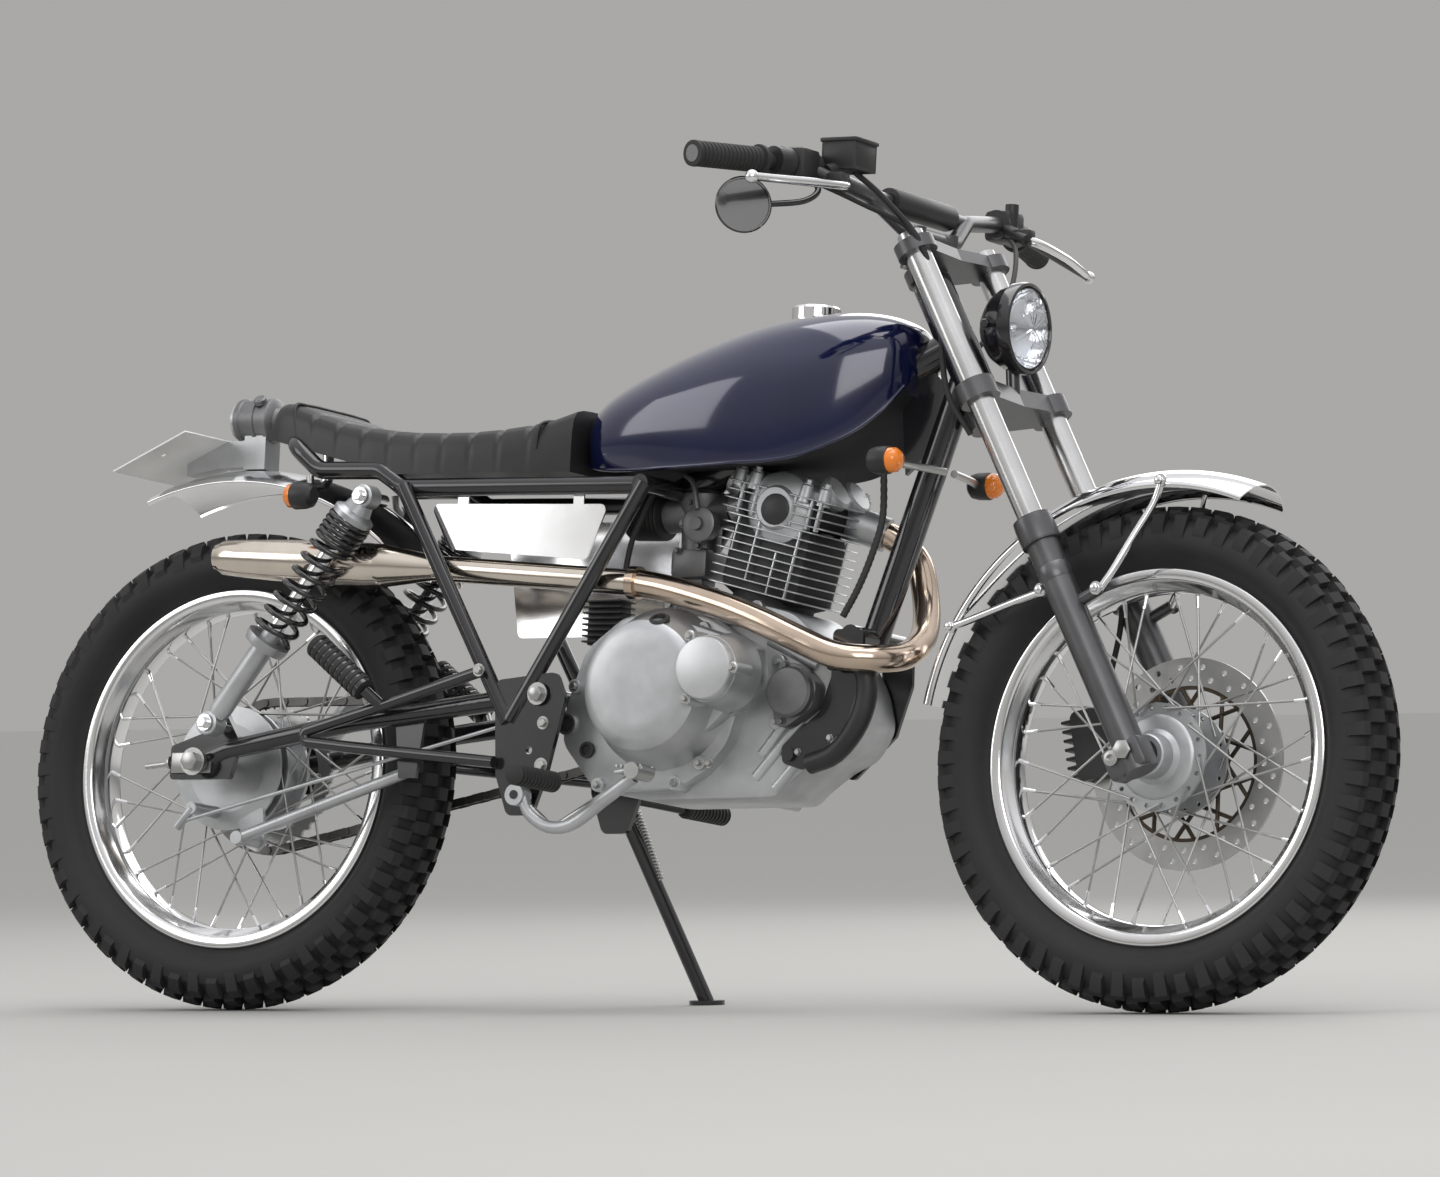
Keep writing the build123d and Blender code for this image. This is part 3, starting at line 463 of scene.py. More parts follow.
# A hexagon head on its washer, standing off a face along the axis
def bolt(parts, centre, axis, size=6, height=5):
    lathe(parts, [(0, 0), (0, size * 1.05), (1.2, size * 1.05), (1.2, size * 0.86),
                 (height - 1, size * 0.86), (height, size * 0.7), (height, 0)],
          centre, axis, steps=6)
    lathe(parts, [(-1, 0), (-1, size * 1.25), (1, size * 1.25), (1, 0)], centre, axis, steps=20)


# Tyres: a smooth carcass with rows of blocks, and rims with their nipples

wheels = {
    "front": {"x": 1413.0, "z": 325.0, "half": 52.0, "rim": 32.0, "body": "front_wheel"},
    "rear": {"x": 0.0, "z": 322.0, "half": 56.0, "rim": 35.0, "body": "rear_wheel"},
}
tread = {"pitches": 60, "depth": 11.0, "crown": 80.0}
# middle of the block across the tread, its half width there, its share of the pitch, its lead
treadRows = [(-25.5, 9.6, 0.60, 0.5), (0.0, 10.6, 0.60, 0.0), (25.5, 9.6, 0.60, 0.5)]


def crownRadius(wheel, y):
    return wheel["z"] - tread["crown"] + math.sqrt(tread["crown"] ** 2 - y * y)


# One tread block: a section of (y, radius, half length), swept over its small angle
def addKnob(parts, wheel, section, middle):
    ends = []
    for way in (-1, 1):
        ring = []
        for y, radius, half in section:
            angle = middle + way * half / wheel["z"]
            ring.append((wheel["x"] + radius * math.cos(angle), y,
                         wheel["z"] + radius * math.sin(angle)))
        ends.append(ring)
    skin(parts, ends)


def makeTyre(name, wheel):
    half, rim, depth = wheel["half"], wheel["rim"] - 4, tread["depth"]
    parts = []
    outline = [(-rim, 230), (-rim, 243), (-rim - 3, 248), (-rim - 9, 252), (-half + 4, 262),
               (-half, 272), (-half + 0.5, 283), (-half + 4, 292)]
    outline += [(y, crownRadius(wheel, y) - depth) for y in range(-42, 43, 6)]
    outline += [(-y, r) for y, r in reversed(outline[:8])]
    wheelLathe(parts, outline, wheel, steps=180)
    pitch = 2 * math.pi / tread["pitches"]
    pitchLength = pitch * wheel["z"]
    for number in range(tread["pitches"]):
        for y, width, share, lead in treadRows:
            base = pitchLength * share / 2
            top = base - 1.8
            section = [(y - width - 1, crownRadius(wheel, y - width - 1) - depth - 1, base),
                       (y - width + 0.6, crownRadius(wheel, y - width), top),
                       (y, crownRadius(wheel, y), top),
                       (y + width - 0.6, crownRadius(wheel, y + width), top),
                       (y + width + 1, crownRadius(wheel, y + width + 1) - depth - 1, base)]
            addKnob(parts, wheel, section, (number + lead) * pitch)
        for side in (-1, 1):
            long = number % 2 == 0
            base = pitchLength * 0.33
            low = 277 if long else 286
            section = [(side * 39.5, crownRadius(wheel, 39.5) - depth - 2, base),
                       (side * 40.5, crownRadius(wheel, 40), base - 1.8),
                       (side * (half - 4.5), crownRadius(wheel, half - 5), base - 1.8),
                       (side * (half + 0.8), low + 6, base - 2.2),
                       (side * (half - 1.5), low - 3, base - 1.0),
                       (side * (half - 10), low - 3, base)]
            addKnob(parts, wheel, section, number * pitch)
    return finishMesh(name + "TyreKnobby", parts, wheel["body"], "tyreRubber",
                      [name + "_tyre"], smooth=32)


def makeRim(name, wheel):
    half = wheel["rim"]
    outer = [(-half, 240), (-half + 0.6, 242.6), (-half + 2.2, 243.5), (-half + 3.6, 242),
             (-half + 3.6, 231), (-half + 6, 229.4), (-half + 14, 228), (-half + 20, 219),
             (-half + 24, 217.5)]
    inner = [(-half + 22, 213.8), (-half + 15, 216.5), (-half + 9, 225), (-half + 2, 226.5),
             (-half, 230)]
    profile = outer + [(-y, r) for y, r in reversed(outer)]
    profile += [(-y, r) for y, r in reversed(inner)] + inner
    parts = []
    wheelLathe(parts, profile, wheel, steps=180, closed=True)
    finishMesh(name + "RimPolished", parts, wheel["body"], "polished",
               [name + "_rim"], smooth=50)


for name, wheel in wheels.items():
    makeTyre(name, wheel)
    makeRim(name, wheel)
print("tyres and rims made")

# Spoke nipples sit where the CAD spokes end
spokes = {"perSide": 18, "lead": 60.0, "end": 213.6}


def makeNipples(name, wheel):
    parts = []
    hubRadius = {"front": (62, 62), "rear": (76, 73)}[name]
    for side, (out, hole) in enumerate(zip((-1, 1), hubRadius)):
        for number in range(spokes["perSide"]):
            hub = math.radians(number * 20 + side * 10)
            rim = hub + math.radians(spokes["lead"] if number % 2 else -spokes["lead"])
            y = out * 30 if number % 2 == 0 else out * 22
            start = Vector((wheel["x"] + hole * math.cos(hub), y, wheel["z"] + hole * math.sin(hub)))
            end = Vector((wheel["x"] + spokes["end"] * math.cos(rim), out * 4,
                          wheel["z"] + spokes["end"] * math.sin(rim)))
            along = (end - start).normalized()
            lathe(parts, [(-17, 0), (-17, 2.1), (-1, 2.9), (1.5, 2.9), (1.5, 0)], end, along, steps=8)
    finishMesh(name + "Nipples", parts, wheel["body"], "chrome", smooth=40)


for name, wheel in wheels.items():
    makeNipples(name, wheel)

# Front brake: drilled ring on a dark carrier, on the left of the hub

disc = {"outer": 137.5, "inner": 101.0, "face": 59.5, "thick": 4.5, "holes": 24}


# Takes the cutter out of the piece for good
def cutWith(obj, cutter):
    change = obj.modifiers.new("cut", "BOOLEAN")
    change.operation = "DIFFERENCE"
    change.solver = "EXACT"
    change.object = cutter
    alone(obj)
    bpy.ops.object.modifier_apply(modifier="cut")
    bpy.data.objects.remove(cutter, do_unlink=True)


def makeDisc():
    wheel = wheels["front"]
    low, high = disc["face"] - disc["thick"], disc["face"]
    parts = []
    wheelLathe(parts, [(low, disc["inner"]), (low, disc["outer"]), (high, disc["outer"]),
                      (high, disc["inner"])], wheel, steps=120, closed=True)
    ring = finishMesh("discRing", parts, "front_wheel", "steel", ["brake_disc"])
    holes = []
    for row, radius in enumerate((111, 126)):
        for number in range(disc["holes"]):
            angle = 2 * math.pi * (number + row / 2) / disc["holes"]
            spot = (wheel["x"] + radius * math.cos(angle), low - 5, wheel["z"] + radius * math.sin(angle))
            lathe(holes, [(0, 0), (0, 3.9), (15, 3.9), (15, 0)], spot, (0, 1, 0), steps=10)
    cutWith(ring, joinParts("cutter", holes))
    parts = []
    middle = (low + high) / 2
    wheelLathe(parts, [(low + 0.8, 96), (low + 0.8, 103), (high - 0.8, 103), (high - 0.8, 96)],
               wheel, steps=90, closed=True)
    wheelLathe(parts, [(low - 1, 27.4), (low - 1, 60), (high, 60), (high + 1, 46), (high + 1, 27.4)],
               wheel, steps=60, closed=True)
    for number in range(10):
        for slant in (-1, 1):
            hub = 2 * math.pi * number / 10
            rim = hub + slant * math.radians(26)
            tube(parts, [(wheel["x"] + 56 * math.cos(hub), middle, wheel["z"] + 56 * math.sin(hub)),
                        (wheel["x"] + 98 * math.cos(rim), middle, wheel["z"] + 98 * math.sin(rim))],
                 3.0, sides=8)
    finishMesh("discCarrier", parts, "front_wheel", "darkBronze")


makeDisc()
print("brake disc made")

# Shock absorbers: outside the exhaust, with real coils

shock = {"foot": (34.0, 371.0), "head": (263.0, 671.0), "spread": 138.0, "coil": 27.6, "wire": 3.7}


def shockPoint(share, side):
    foot, head = shock["foot"], shock["head"]
    return Vector((foot[0] + (head[0] - foot[0]) * share, side * shock["spread"],
                   foot[1] + (head[1] - foot[1]) * share))


def makeShocks():
    body, coils = [], []
    shafts = []
    for side in (-1, 1):
        foot, head = shockPoint(0, side), shockPoint(1, side)
        along = (head - foot).normalized()
        length = (head - foot).length
        lathe(body, [(14, 0), (14, 13), (24, 15), (0.33 * length, 15), (0.34 * length, 29),
                     (0.36 * length, 31), (0.375 * length, 31), (0.375 * length, 13),
                     (0.42 * length, 13), (0.42 * length, 0)], foot, along, steps=40)
        lathe(shafts, [(0.4 * length, 0), (0.4 * length, 11), (0.92 * length, 11), (0.92 * length, 0)],
              foot, along, steps=32)
        lathe(body, [(0.905 * length, 0), (0.905 * length, 29), (0.925 * length, 29),
                     (0.94 * length, 20), (0.975 * length, 16), (0.975 * length, 0)],
              foot, along, steps=40)
        for end in (foot, head):
            lathe(body, [(-14, 0), (-14, 14), (-12, 16), (12, 16), (14, 14), (14, 0)],
                  end, (0, 1, 0), steps=32)
            lathe(shafts, [(-22 if side < 0 else -44, 0), (-22 if side < 0 else -44, 8),
                           (22 if side > 0 else 44, 8), (22 if side > 0 else 44, 0)],
                  end, (0, 1, 0), steps=20)
            bolt(shafts, end + Vector((0, side * 17, 0)), (0, side, 0), size=9, height=9)
        out = along.orthogonal().normalized()
        up = along.cross(out)
        turns = ((0.382, 0.79, 7.0), (0.79, 0.9, 5.0))
        route, angle = [], 0.0
        for first, last, count in turns:
            steps = int(count * 22)
            for step in range(steps):
                share = first + (last - first) * step / steps
                route.append(foot + along * share * length
                             + (out * math.cos(angle) + up * math.sin(angle)) * shock["coil"])
                angle += 2 * math.pi * count / steps
        tube(coils, route, shock["wire"], sides=10)
    finishMesh("shockCastings", body, "chassis", "engineSilver", ["shock_bodies"])
    finishMesh("shockShafts", shafts, "chassis", "chrome")
    finishMesh("shockCoils", coils, "chassis", "blackGloss", ["shock_springs"],
               smooth=60)


makeShocks()
print("shock absorbers made")

# Exhaust: behind the struts and the shock absorber, as on the machine

exhaust = {
    "header": [(950, 42.5, 631.5), (975, 49, 618), (1004, 52, 590), (1022, 44, 540),
               (1040, 14, 497), (1050, -25, 470), (1046, -62, 454), (1022, -98, 449),
               (980, -114, 453), (925, -113, 474), (873, -111, 496), (815, -106, 517),
               (757, -99, 534), (709, -92, 546), (661, -88, 555)],
    "pipe": 18.0,
    "can": [(661, -88, 555), (500, -87, 568), (345, -86, 580.5), (12, -104, 599)],
    "shockRoom": 33.5,    # kept clear round the shock absorber's line
}


def makeExhaust():
    header = []
    tube(header, smoothRoute(exhaust["header"], 5), exhaust["pipe"], sides=28)
    lathe(header, [(-3, 18), (-3, 22), (9, 22), (9, 18)], (661, -88, 555), (-1, 0, 0.08), steps=32,
          closed=True)
    finishMesh("headerBronze", header, "chassis", "bronze", ["exhaust_header"],
               smooth=60)
    parts = []
    front, rear = Vector(exhaust["can"][2]), Vector(exhaust["can"][3])
    tube(parts, [exhaust["can"][0], exhaust["can"][1], front], exhaust["pipe"] - 1, sides=28)
    profile = [(0, 17), (8, 17.5), (74, 28), (78, 29.5), (84, 29), (100, 30), (222, 28.5),
               (250, 27.5), (300, 25), (326, 23.5), (330, 21), (338, 18), (338, 13), (300, 12)]
    lathe(parts, profile, front, rear - front, steps=56)
    foot, head = shockPoint(0, -1), shockPoint(1, -1)
    line = (head - foot).normalized()
    for vert in [vert for part in parts for vert in part.data.vertices]:
        offset = vert.co - foot
        nearest = foot + line * offset.dot(line)
        gap = vert.co - nearest
        flat = math.hypot(gap.x, gap.z)
        room = exhaust["shockRoom"]
        if flat < room and vert.co.y < nearest.y + room:
            vert.co.y = max(vert.co.y, nearest.y + math.sqrt(room ** 2 - flat ** 2))
    finishMesh("mufflerPolished", parts, "chassis", "stainless", ["muffler"], smooth=60)


makeExhaust()
print("exhaust made")

# Tank: a smooth shell over the CAD stations, with its seam near the lower edge

tank = {
    # x: lower edge z, widest z, top z, half width at the edge, widest half width
    "stations": [
        (540, 724, 738, 762, 10, 12), (546, 718, 742, 778, 34, 40), (558, 712, 745, 795, 54, 64),
        (580, 706, 748, 812, 70, 82), (610, 702, 752, 829, 84, 96), (655, 700, 758, 849, 97, 108),
        (700, 700, 765, 867, 108, 117), (755, 701, 776, 886, 114, 122),
        (810, 703, 790, 902, 117, 125), (860, 705, 798, 911, 114, 122),
        (905, 712, 806, 915, 107, 116), (945, 728, 818, 915, 95, 103),
        (980, 750, 830, 911, 78, 86), (1008, 780, 841, 902, 60, 68), (1024, 808, 849, 892, 42, 50),
        (1031, 834, 855, 880, 14, 18),
    ],
    "archSteps": 20,
    "square": 2.35,
    "sideSteps": (0.3, 0.6, 0.85, 0.97),   # down the wall, from the widest line to the lip
    "tuck": ((0.97, 0), (0.7, 5), (0.35, 9)),   # under the tank: share of the half width, rise
}


def tankRing(station):
    x, low, side, top, edgeHalf, half = station
    bend = 2 / tank["square"]
    outline = []
    for step in range(tank["archSteps"] + 1):
        angle = math.pi * step / tank["archSteps"]
        c, s = math.cos(angle), math.sin(angle)
        outline.append((half * math.copysign(abs(c) ** bend, c), side + (top - side) * abs(s) ** bend))
    wall = [(half + (edgeHalf - half) * t * t, side - (side - low) * t) for t in tank["sideSteps"]]
    wall += [(edgeHalf * share, low + rise) for share, rise in tank["tuck"]]
    outline += [(-y, z) for y, z in wall] + [(0, low + 10)] + list(reversed(wall))
    return [(x, y, z) for y, z in outline]


def makeTank():
    parts = []
    rings = [tankRing(station) for station in tank["stations"]]
    skin(parts, rings)
    obj = finishMesh("tankShell", parts, "chassis", "navyGloss", ["fuel_tank"],
                     smooth=0)
    smoother = obj.modifiers.new("smoother", "SUBSURF")
    smoother.levels = smoother.render_levels = 2
    alone(obj)
    bpy.ops.object.modifier_apply(modifier="smoother")
    bpy.ops.object.shade_smooth()
    # faces that look down wear a near-black rough finish: partly the tank's unpolished underside, partly
    # painted shade
    obj.data.materials.append(materials["tankUndersideShade"])
    for face in obj.data.polygons:
        if face.normal.z < -0.5:
            face.material_index = 1
    seam = []
    for side in (-1, 1):
        points = [(x, side * edgeHalf * 0.99, low + 4)
                  for x, low, wide, top, edgeHalf, half in tank["stations"][1:-1]]
        tube(seam, smoothRoute(points, 4), 2.6, sides=10)
    finishMesh("tankSeam", seam, "chassis", "navyGloss", smooth=60)


makeTank()
print("tank made")

# Seat: a cushion over the CAD block, pleated across

seat = {
    "top": [(66, 762), (74, 796), (88, 811), (104, 810), (156, 792), (205, 778), (253, 770),
            (300, 765), (348, 763), (395, 763), (443, 766), (480, 771), (513, 777), (550, 790)],
    "half": [(66, 84), (90, 96), (150, 106), (250, 112), (350, 112), (450, 106), (550, 92)],
    "pleats": [150, 192, 234, 276, 318, 360, 402, 444, 486],
    "base": 704.0,
}


def between(table, x):
    for (x0, v0), (x1, v1) in zip(table, table[1:]):
        if x0 <= x <= x1:
            return v0 + (v1 - v0) * (x - x0) / (x1 - x0)
    return table[0][1] if x < table[0][0] else table[-1][1]


def seatRing(x):
    top, half = between(seat["top"], x), between(seat["half"], x)
    base = seat["base"] if x > 285 else seat["base"] + (285 - x) * 0.26
    groove = sum(math.exp(-((x - pleat) / 2.6) ** 2) for pleat in seat["pleats"]) * 4.0
    crown = [(-1.0, 0.0), (-1.0, 0.35), (-0.99, 0.62), (-0.95, 0.83), (-0.86, 0.945),
             (-0.7, 0.985), (-0.45, 0.998), (-0.2, 1.0)]
    crown += [(0.0, 1.0)] + [(-a, b) for a, b in reversed(crown)]
    ring = []
    for across, up in crown:
        sink = groove * min(1.0, max(0.0, (up - 0.25) / 0.5))
        y = across * (half - sink * 0.6 * abs(across) ** 6)
        ring.append((x, y, base + (top - base) * up - sink))
    return ring


def makeSeat():
    parts = []
    places = [66, 68, 72, 78, 86, 96, 108, 122]
    places += [130 + 3 * step for step in range(125)]
    places += [508, 518, 528, 538, 546, 550]
    rings = [seatRing(x) for x in places]
    skin(parts, rings)
    obj = finishMesh("seatCushion", parts, "chassis", "leather", ["seat"], smooth=60)
    piping = []
    for x, lean in ((112, -0.35), (505, 0.1)):
        top, half = between(seat["top"], x), between(seat["half"], x)
        points = [(x - lean * 60, -half - 0.5, 735), (x - lean * 30, -half, 760),
                  (x, -half + 8, top - 5), (x, -half * 0.6, top + 0.5), (x, 0, top + 1),
                  (x, half * 0.6, top + 0.5), (x, half - 8, top - 5), (x - lean * 30, half, 760),
                  (x - lean * 60, half + 0.5, 735)]
        tube(piping, smoothRoute(points, 6), 2.4, sides=8)
    finishMesh("seatPiping", piping, "chassis", "leather", smooth=60)


makeSeat()
print("seat made")

# Flat castings drawn from the side


def roundedOutline(points, radius, steps=5):
    outline = []
    count = len(points)
    for i, point in enumerate(points):
        spot = Vector(point)
        before, after = Vector(points[i - 1]), Vector(points[(i + 1) % count])
        back = (before - spot).normalized() * min(radius, (before - spot).length * 0.48)
        on = (after - spot).normalized() * min(radius, (after - spot).length * 0.48)
        for step in range(steps + 1):
            t = step / steps
            outline.append(spot + back * (1 - t) ** 2 + on * t ** 2)
    return outline


# The outline moved inwards, for a softened edge
def inset(outline, by):
    count = len(outline)
    area = sum(outline[i].x * outline[(i + 1) % count].y - outline[(i + 1) % count].x * outline[i].y
               for i in range(count))
    way = 1 if area > 0 else -1
    moved = []
    for i, spot in enumerate(outline):
        along = (outline[(i + 1) % count] - outline[i - 1]).normalized()
        moved.append(spot + Vector((-along.y, along.x)) * by * way)
    return moved


# A casting between two values of y, its edge rounded at the face
def plate(parts, points, back, face, corner=8, edge=3):
    outline = roundedOutline(points, corner)
    way = 1 if face > back else -1
    layers = [(outline, back), (outline, face - way * edge),
              (inset(outline, edge * 0.3), face - way * edge * 0.3), (inset(outline, edge), face)]
    rings = [[(p.x, y, p.y) for p in layer] for layer, y in layers]
    skin(parts, rings)


# Crankcase and its covers

engine = {
    "case": [(550, 345), (552, 385), (590, 455), (650, 505), (746, 550), (884, 516), (938, 470),
             (968, 420), (980, 373), (957, 332), (924, 318), (882, 288), (868, 273), (673, 271),
             (600, 284)],
    "starter": (903, 408),
    "cover": [(553, 345), (556, 395), (584, 470), (640, 512), (765, 512), (842, 470), (850, 428),
              (818, 382), (808, 345), (774, 306), (733, 284), (608, 281)],
    "flange": -84.0,
    "round": (704, 414),
    "cap": (812, 433),
    "bolts": [(693, 505), (765, 493), (834, 462), (812, 387), (768, 317), (732, 291), (614, 290),
              (572, 420)],
    "capBolts": [(787, 475), (854, 433), (785, 393)],
}


# A turned form about a line across the machine: the profile is (y, radius)
def sideLathe(parts, profile, x, z, steps=64):
    lathe(parts, profile, (x, 0, z), (0, 1, 0), steps)


def makeCases():
    parts = []
    plate(parts, engine["case"], 0, -60, corner=14, edge=6)
    plate(parts, engine["case"], 0, 60, corner=14, edge=6)
    sideLathe(parts, [(58, 0), (58, 32), (76, 30), (78, 28), (78, 0)], 600, 387, 40)
    for low, high in (((838, 300), (905, 375)), ((868, 285), (938, 360)), ((850, 480), (925, 445)),
                      ((846, 330), (880, 372)), ((700, 520), (846, 500))):
        tube(parts, [(low[0], -58, low[1]), (high[0], -58, high[1])], 8, sides=12)
    for x, z in ((868, 450), (868, 372), (905, 332), (952, 350), (700, 528), (760, 540), (830, 522)):
        sideLathe(parts, [(-56, 0), (-56, 11), (-66, 10), (-67, 9), (-67, 0)], x, z, 24)
        bolt(parts, (x, -67, z), (0, -1, 0), size=5, height=5)
    finishMesh("crankcaseCasting", parts, "chassis", "engineSilver", ["crankcase"])
    motor = []
    x, z = engine["starter"]
    sideLathe(motor, [(-60, 0), (-60, 33), (-96, 33), (-100, 30), (-100.6, 26), (-100.6, 0)], x, z, 48)
    plate(motor, [(x - 22, z + 40), (x + 8, z + 38), (x + 36, z + 10), (x + 30, z - 20),
                  (x - 8, z - 46), (x - 24, z - 44), (x - 34, z)], -60, -86, corner=8, edge=2)
    for dx, dz in ((-12, 36), (-14, -38)):
        bolt(motor, (x + dx, -86, z + dz), (0, -1, 0), size=5, height=5)
    finishMesh("starterMotor", motor, "chassis", "darkCasting")
    bracket = []
    tube(bracket, smoothRoute([(958, -86, 450), (1000, -84, 446), (1012, -80, 412), (1000, -78, 368),
                               (966, -74, 330), (925, -70, 316)], 4), 14, sides=14)
    finishMesh("engineGuardTube", bracket, "chassis", "satinBlack")


def makeClutchCover():
    parts = []
    flange = engine["flange"]
    plate(parts, engine["cover"], -58, flange, corner=14, edge=4)
    plate(parts, [(612, 460), (700, 516), (826, 478), (842, 420), (806, 372), (740, 322), (660, 330)],
          flange + 2, -104, corner=30, edge=9)
    sideLathe(parts, [(flange + 2, 108), (-92, 101), (-106, 95), (-126, 90), (-139, 85.5), (-144.5, 79),
                     (-147, 70), (-148, 50), (-148.4, 0)], *engine["round"], 96)
    sideLathe(parts, [(-100, 52), (-112, 47.5), (-150, 44), (-151, 43.6), (-151, 42)],
              *engine["cap"], 64)
    for x, z in engine["bolts"]:
        sideLathe(parts, [(-60, 0), (-60, 10), (flange - 5, 9.4), (flange - 6, 8.6), (flange - 6, 0)],
                  x, z, 24)
    finishMesh("clutchCoverCasting", parts, "chassis", "engineSilver",
               ["clutch_cover"], smooth=30)
    cap = []
    sideLathe(cap, [(-150, 0), (-150, 42.5), (-161, 42), (-164, 40), (-165, 37), (-165, 0)],
              *engine["cap"], 72)
    for x, z in engine["capBolts"]:
        sideLathe(cap, [(-120, 0), (-120, 8.5), (-158, 8), (-160, 6.5), (-160, 0)], x, z, 20)
    finishMesh("oilFilterCap", cap, "chassis", "capSilver")
    trim = []
    for x, z in engine["bolts"]:
        bolt(trim, (x, flange - 6, z), (0, -1, 0), size=5.2, height=5)
    for x, z in engine["capBolts"]:
        bolt(trim, (x, -160, z), (0, -1, 0), size=5.0, height=4.5)
    sideLathe(trim, [(flange, 14), (flange - 3, 14), (flange - 3, 10.5), (flange, 10.5)], 560, 370, 40)
    sideLathe(trim, [(flange, 13), (flange - 2, 13), (flange - 2, 9.5), (flange, 9.5)], 768, 348, 40)
    bolt(trim, (768, flange - 1, 348), (0, -1, 0), size=8.5, height=8)
    bolt(trim, (781, flange - 1, 317), (0, -1, 0), size=5.5, height=5)
    finishMesh("coverBolts", trim, "chassis", "steel")
    dark = []
    sideLathe(dark, [(flange - 0.5, 10.6), (flange - 1.5, 10.4), (flange - 1.5, 0)], 560, 370, 36)
    sideLathe(dark, [(flange, 11), (flange - 4, 10.5), (flange - 4, 7), (flange - 1, 6.5),
                     (flange - 1, 0)], 594, 336, 36)
    lathe(dark, [(-4, 9), (-4, 13), (2, 14), (4, 12), (4, 9)], (724, -131, 500),
          (0.1, -0.55, 0.8), steps=32, closed=True)
    finishMesh("coverPlugs", dark, "chassis", "satinBlack")


def makeGeneratorCover():
    parts = []
    sideLathe(parts, [(58, 84), (80, 82), (98, 78), (106, 70), (109, 55), (110, 0)], 800, 395, 80)
    plate(parts, [(640, 350), (650, 440), (740, 460), (740, 330), (660, 320)], 58, 93, corner=16, edge=6)
    for turn in range(7):
        angle = math.radians(20 + 50 * turn)
        x, z = 800 + 82 * math.cos(angle), 395 + 82 * math.sin(angle)
        sideLathe(parts, [(58, 0), (58, 9), (76, 8.5), (76, 0)], x, z, 20)
        bolt(parts, (x, 76, z), (0, 1, 0), size=5, height=5)
    finishMesh("generatorCasting", parts, "chassis", "engineSilver",
               ["generator_cover"])


makeCases()
makeClutchCover()
makeGeneratorCover()
print("crankcase and covers made")

# Cylinder and head, along the leaning bore
bore = {"tilt": 13.8, "base": (819.0, 0.0, 544.0), "pitch": 11.5, "fins": 9}
boreAngle = math.radians(bore["tilt"])
boreFrame = Matrix((
    (math.cos(boreAngle), 0, math.sin(boreAngle), bore["base"][0]),
    (0, 1, 0, bore["base"][1]),
    (-math.sin(boreAngle), 0, math.cos(boreAngle), bore["base"][2]),
    (0, 0, 0, 1),
))


# One cooling fin: a rounded plate, thinner at its edge
def addFin(parts, long, wide, height, shift=0.0, thick=2.6, corner=22):
    points = [(-long / 2 + shift, -wide / 2), (long / 2 + shift, -wide / 2),
              (long / 2 + shift, wide / 2), (-long / 2 + shift, wide / 2)]
    outline = roundedOutline(points, corner, 6)
    inner = inset(outline, 2.5)
    rings = []
    for layer, level in ((inner, 0), (outline, thick * 0.3), (outline, thick * 0.7), (inner, thick)):
        rings.append([boreFrame @ Vector((p.x, p.y, height + level)) for p in layer])
    skin(parts, rings)


def makeCylinder():
    core, fins = [], []
    axis = boreFrame.to_3x3() @ Vector((0, 0, 1))
    lathe(core, [(-12, 0), (-12, 55), (100, 55), (100, 0)], boreFrame.translation, axis, 48)
    block(core, (0, 0, 0), (128, 106, 108), 20, boreFrame @ Matrix.Translation((0, 0, 46)))
    block(core, (0, 0, 0), (140, 104, 44), 16, boreFrame @ Matrix.Translation((2, 0, 118)))
    finishMesh("barrelCore", core, "chassis", "finShadow")
    for number in range(bore["fins"]):
        addFin(fins, 152 - abs(number - 4) * 0.8, 132, number * bore["pitch"])
    for x, low, high in ((-46, 46, 92), (-14, 12, 92), (22, 0, 60), (50, 0, 92)):
        for y in (-60, 60):
            block(fins, (0, 0, 0), (2.4, 5, high - low), 0.6,
                  boreFrame @ Matrix.Translation((x, y, (low + high) / 2)))
    finishMesh("barrelFins", fins, "chassis", "finSilver", ["cylinder"])


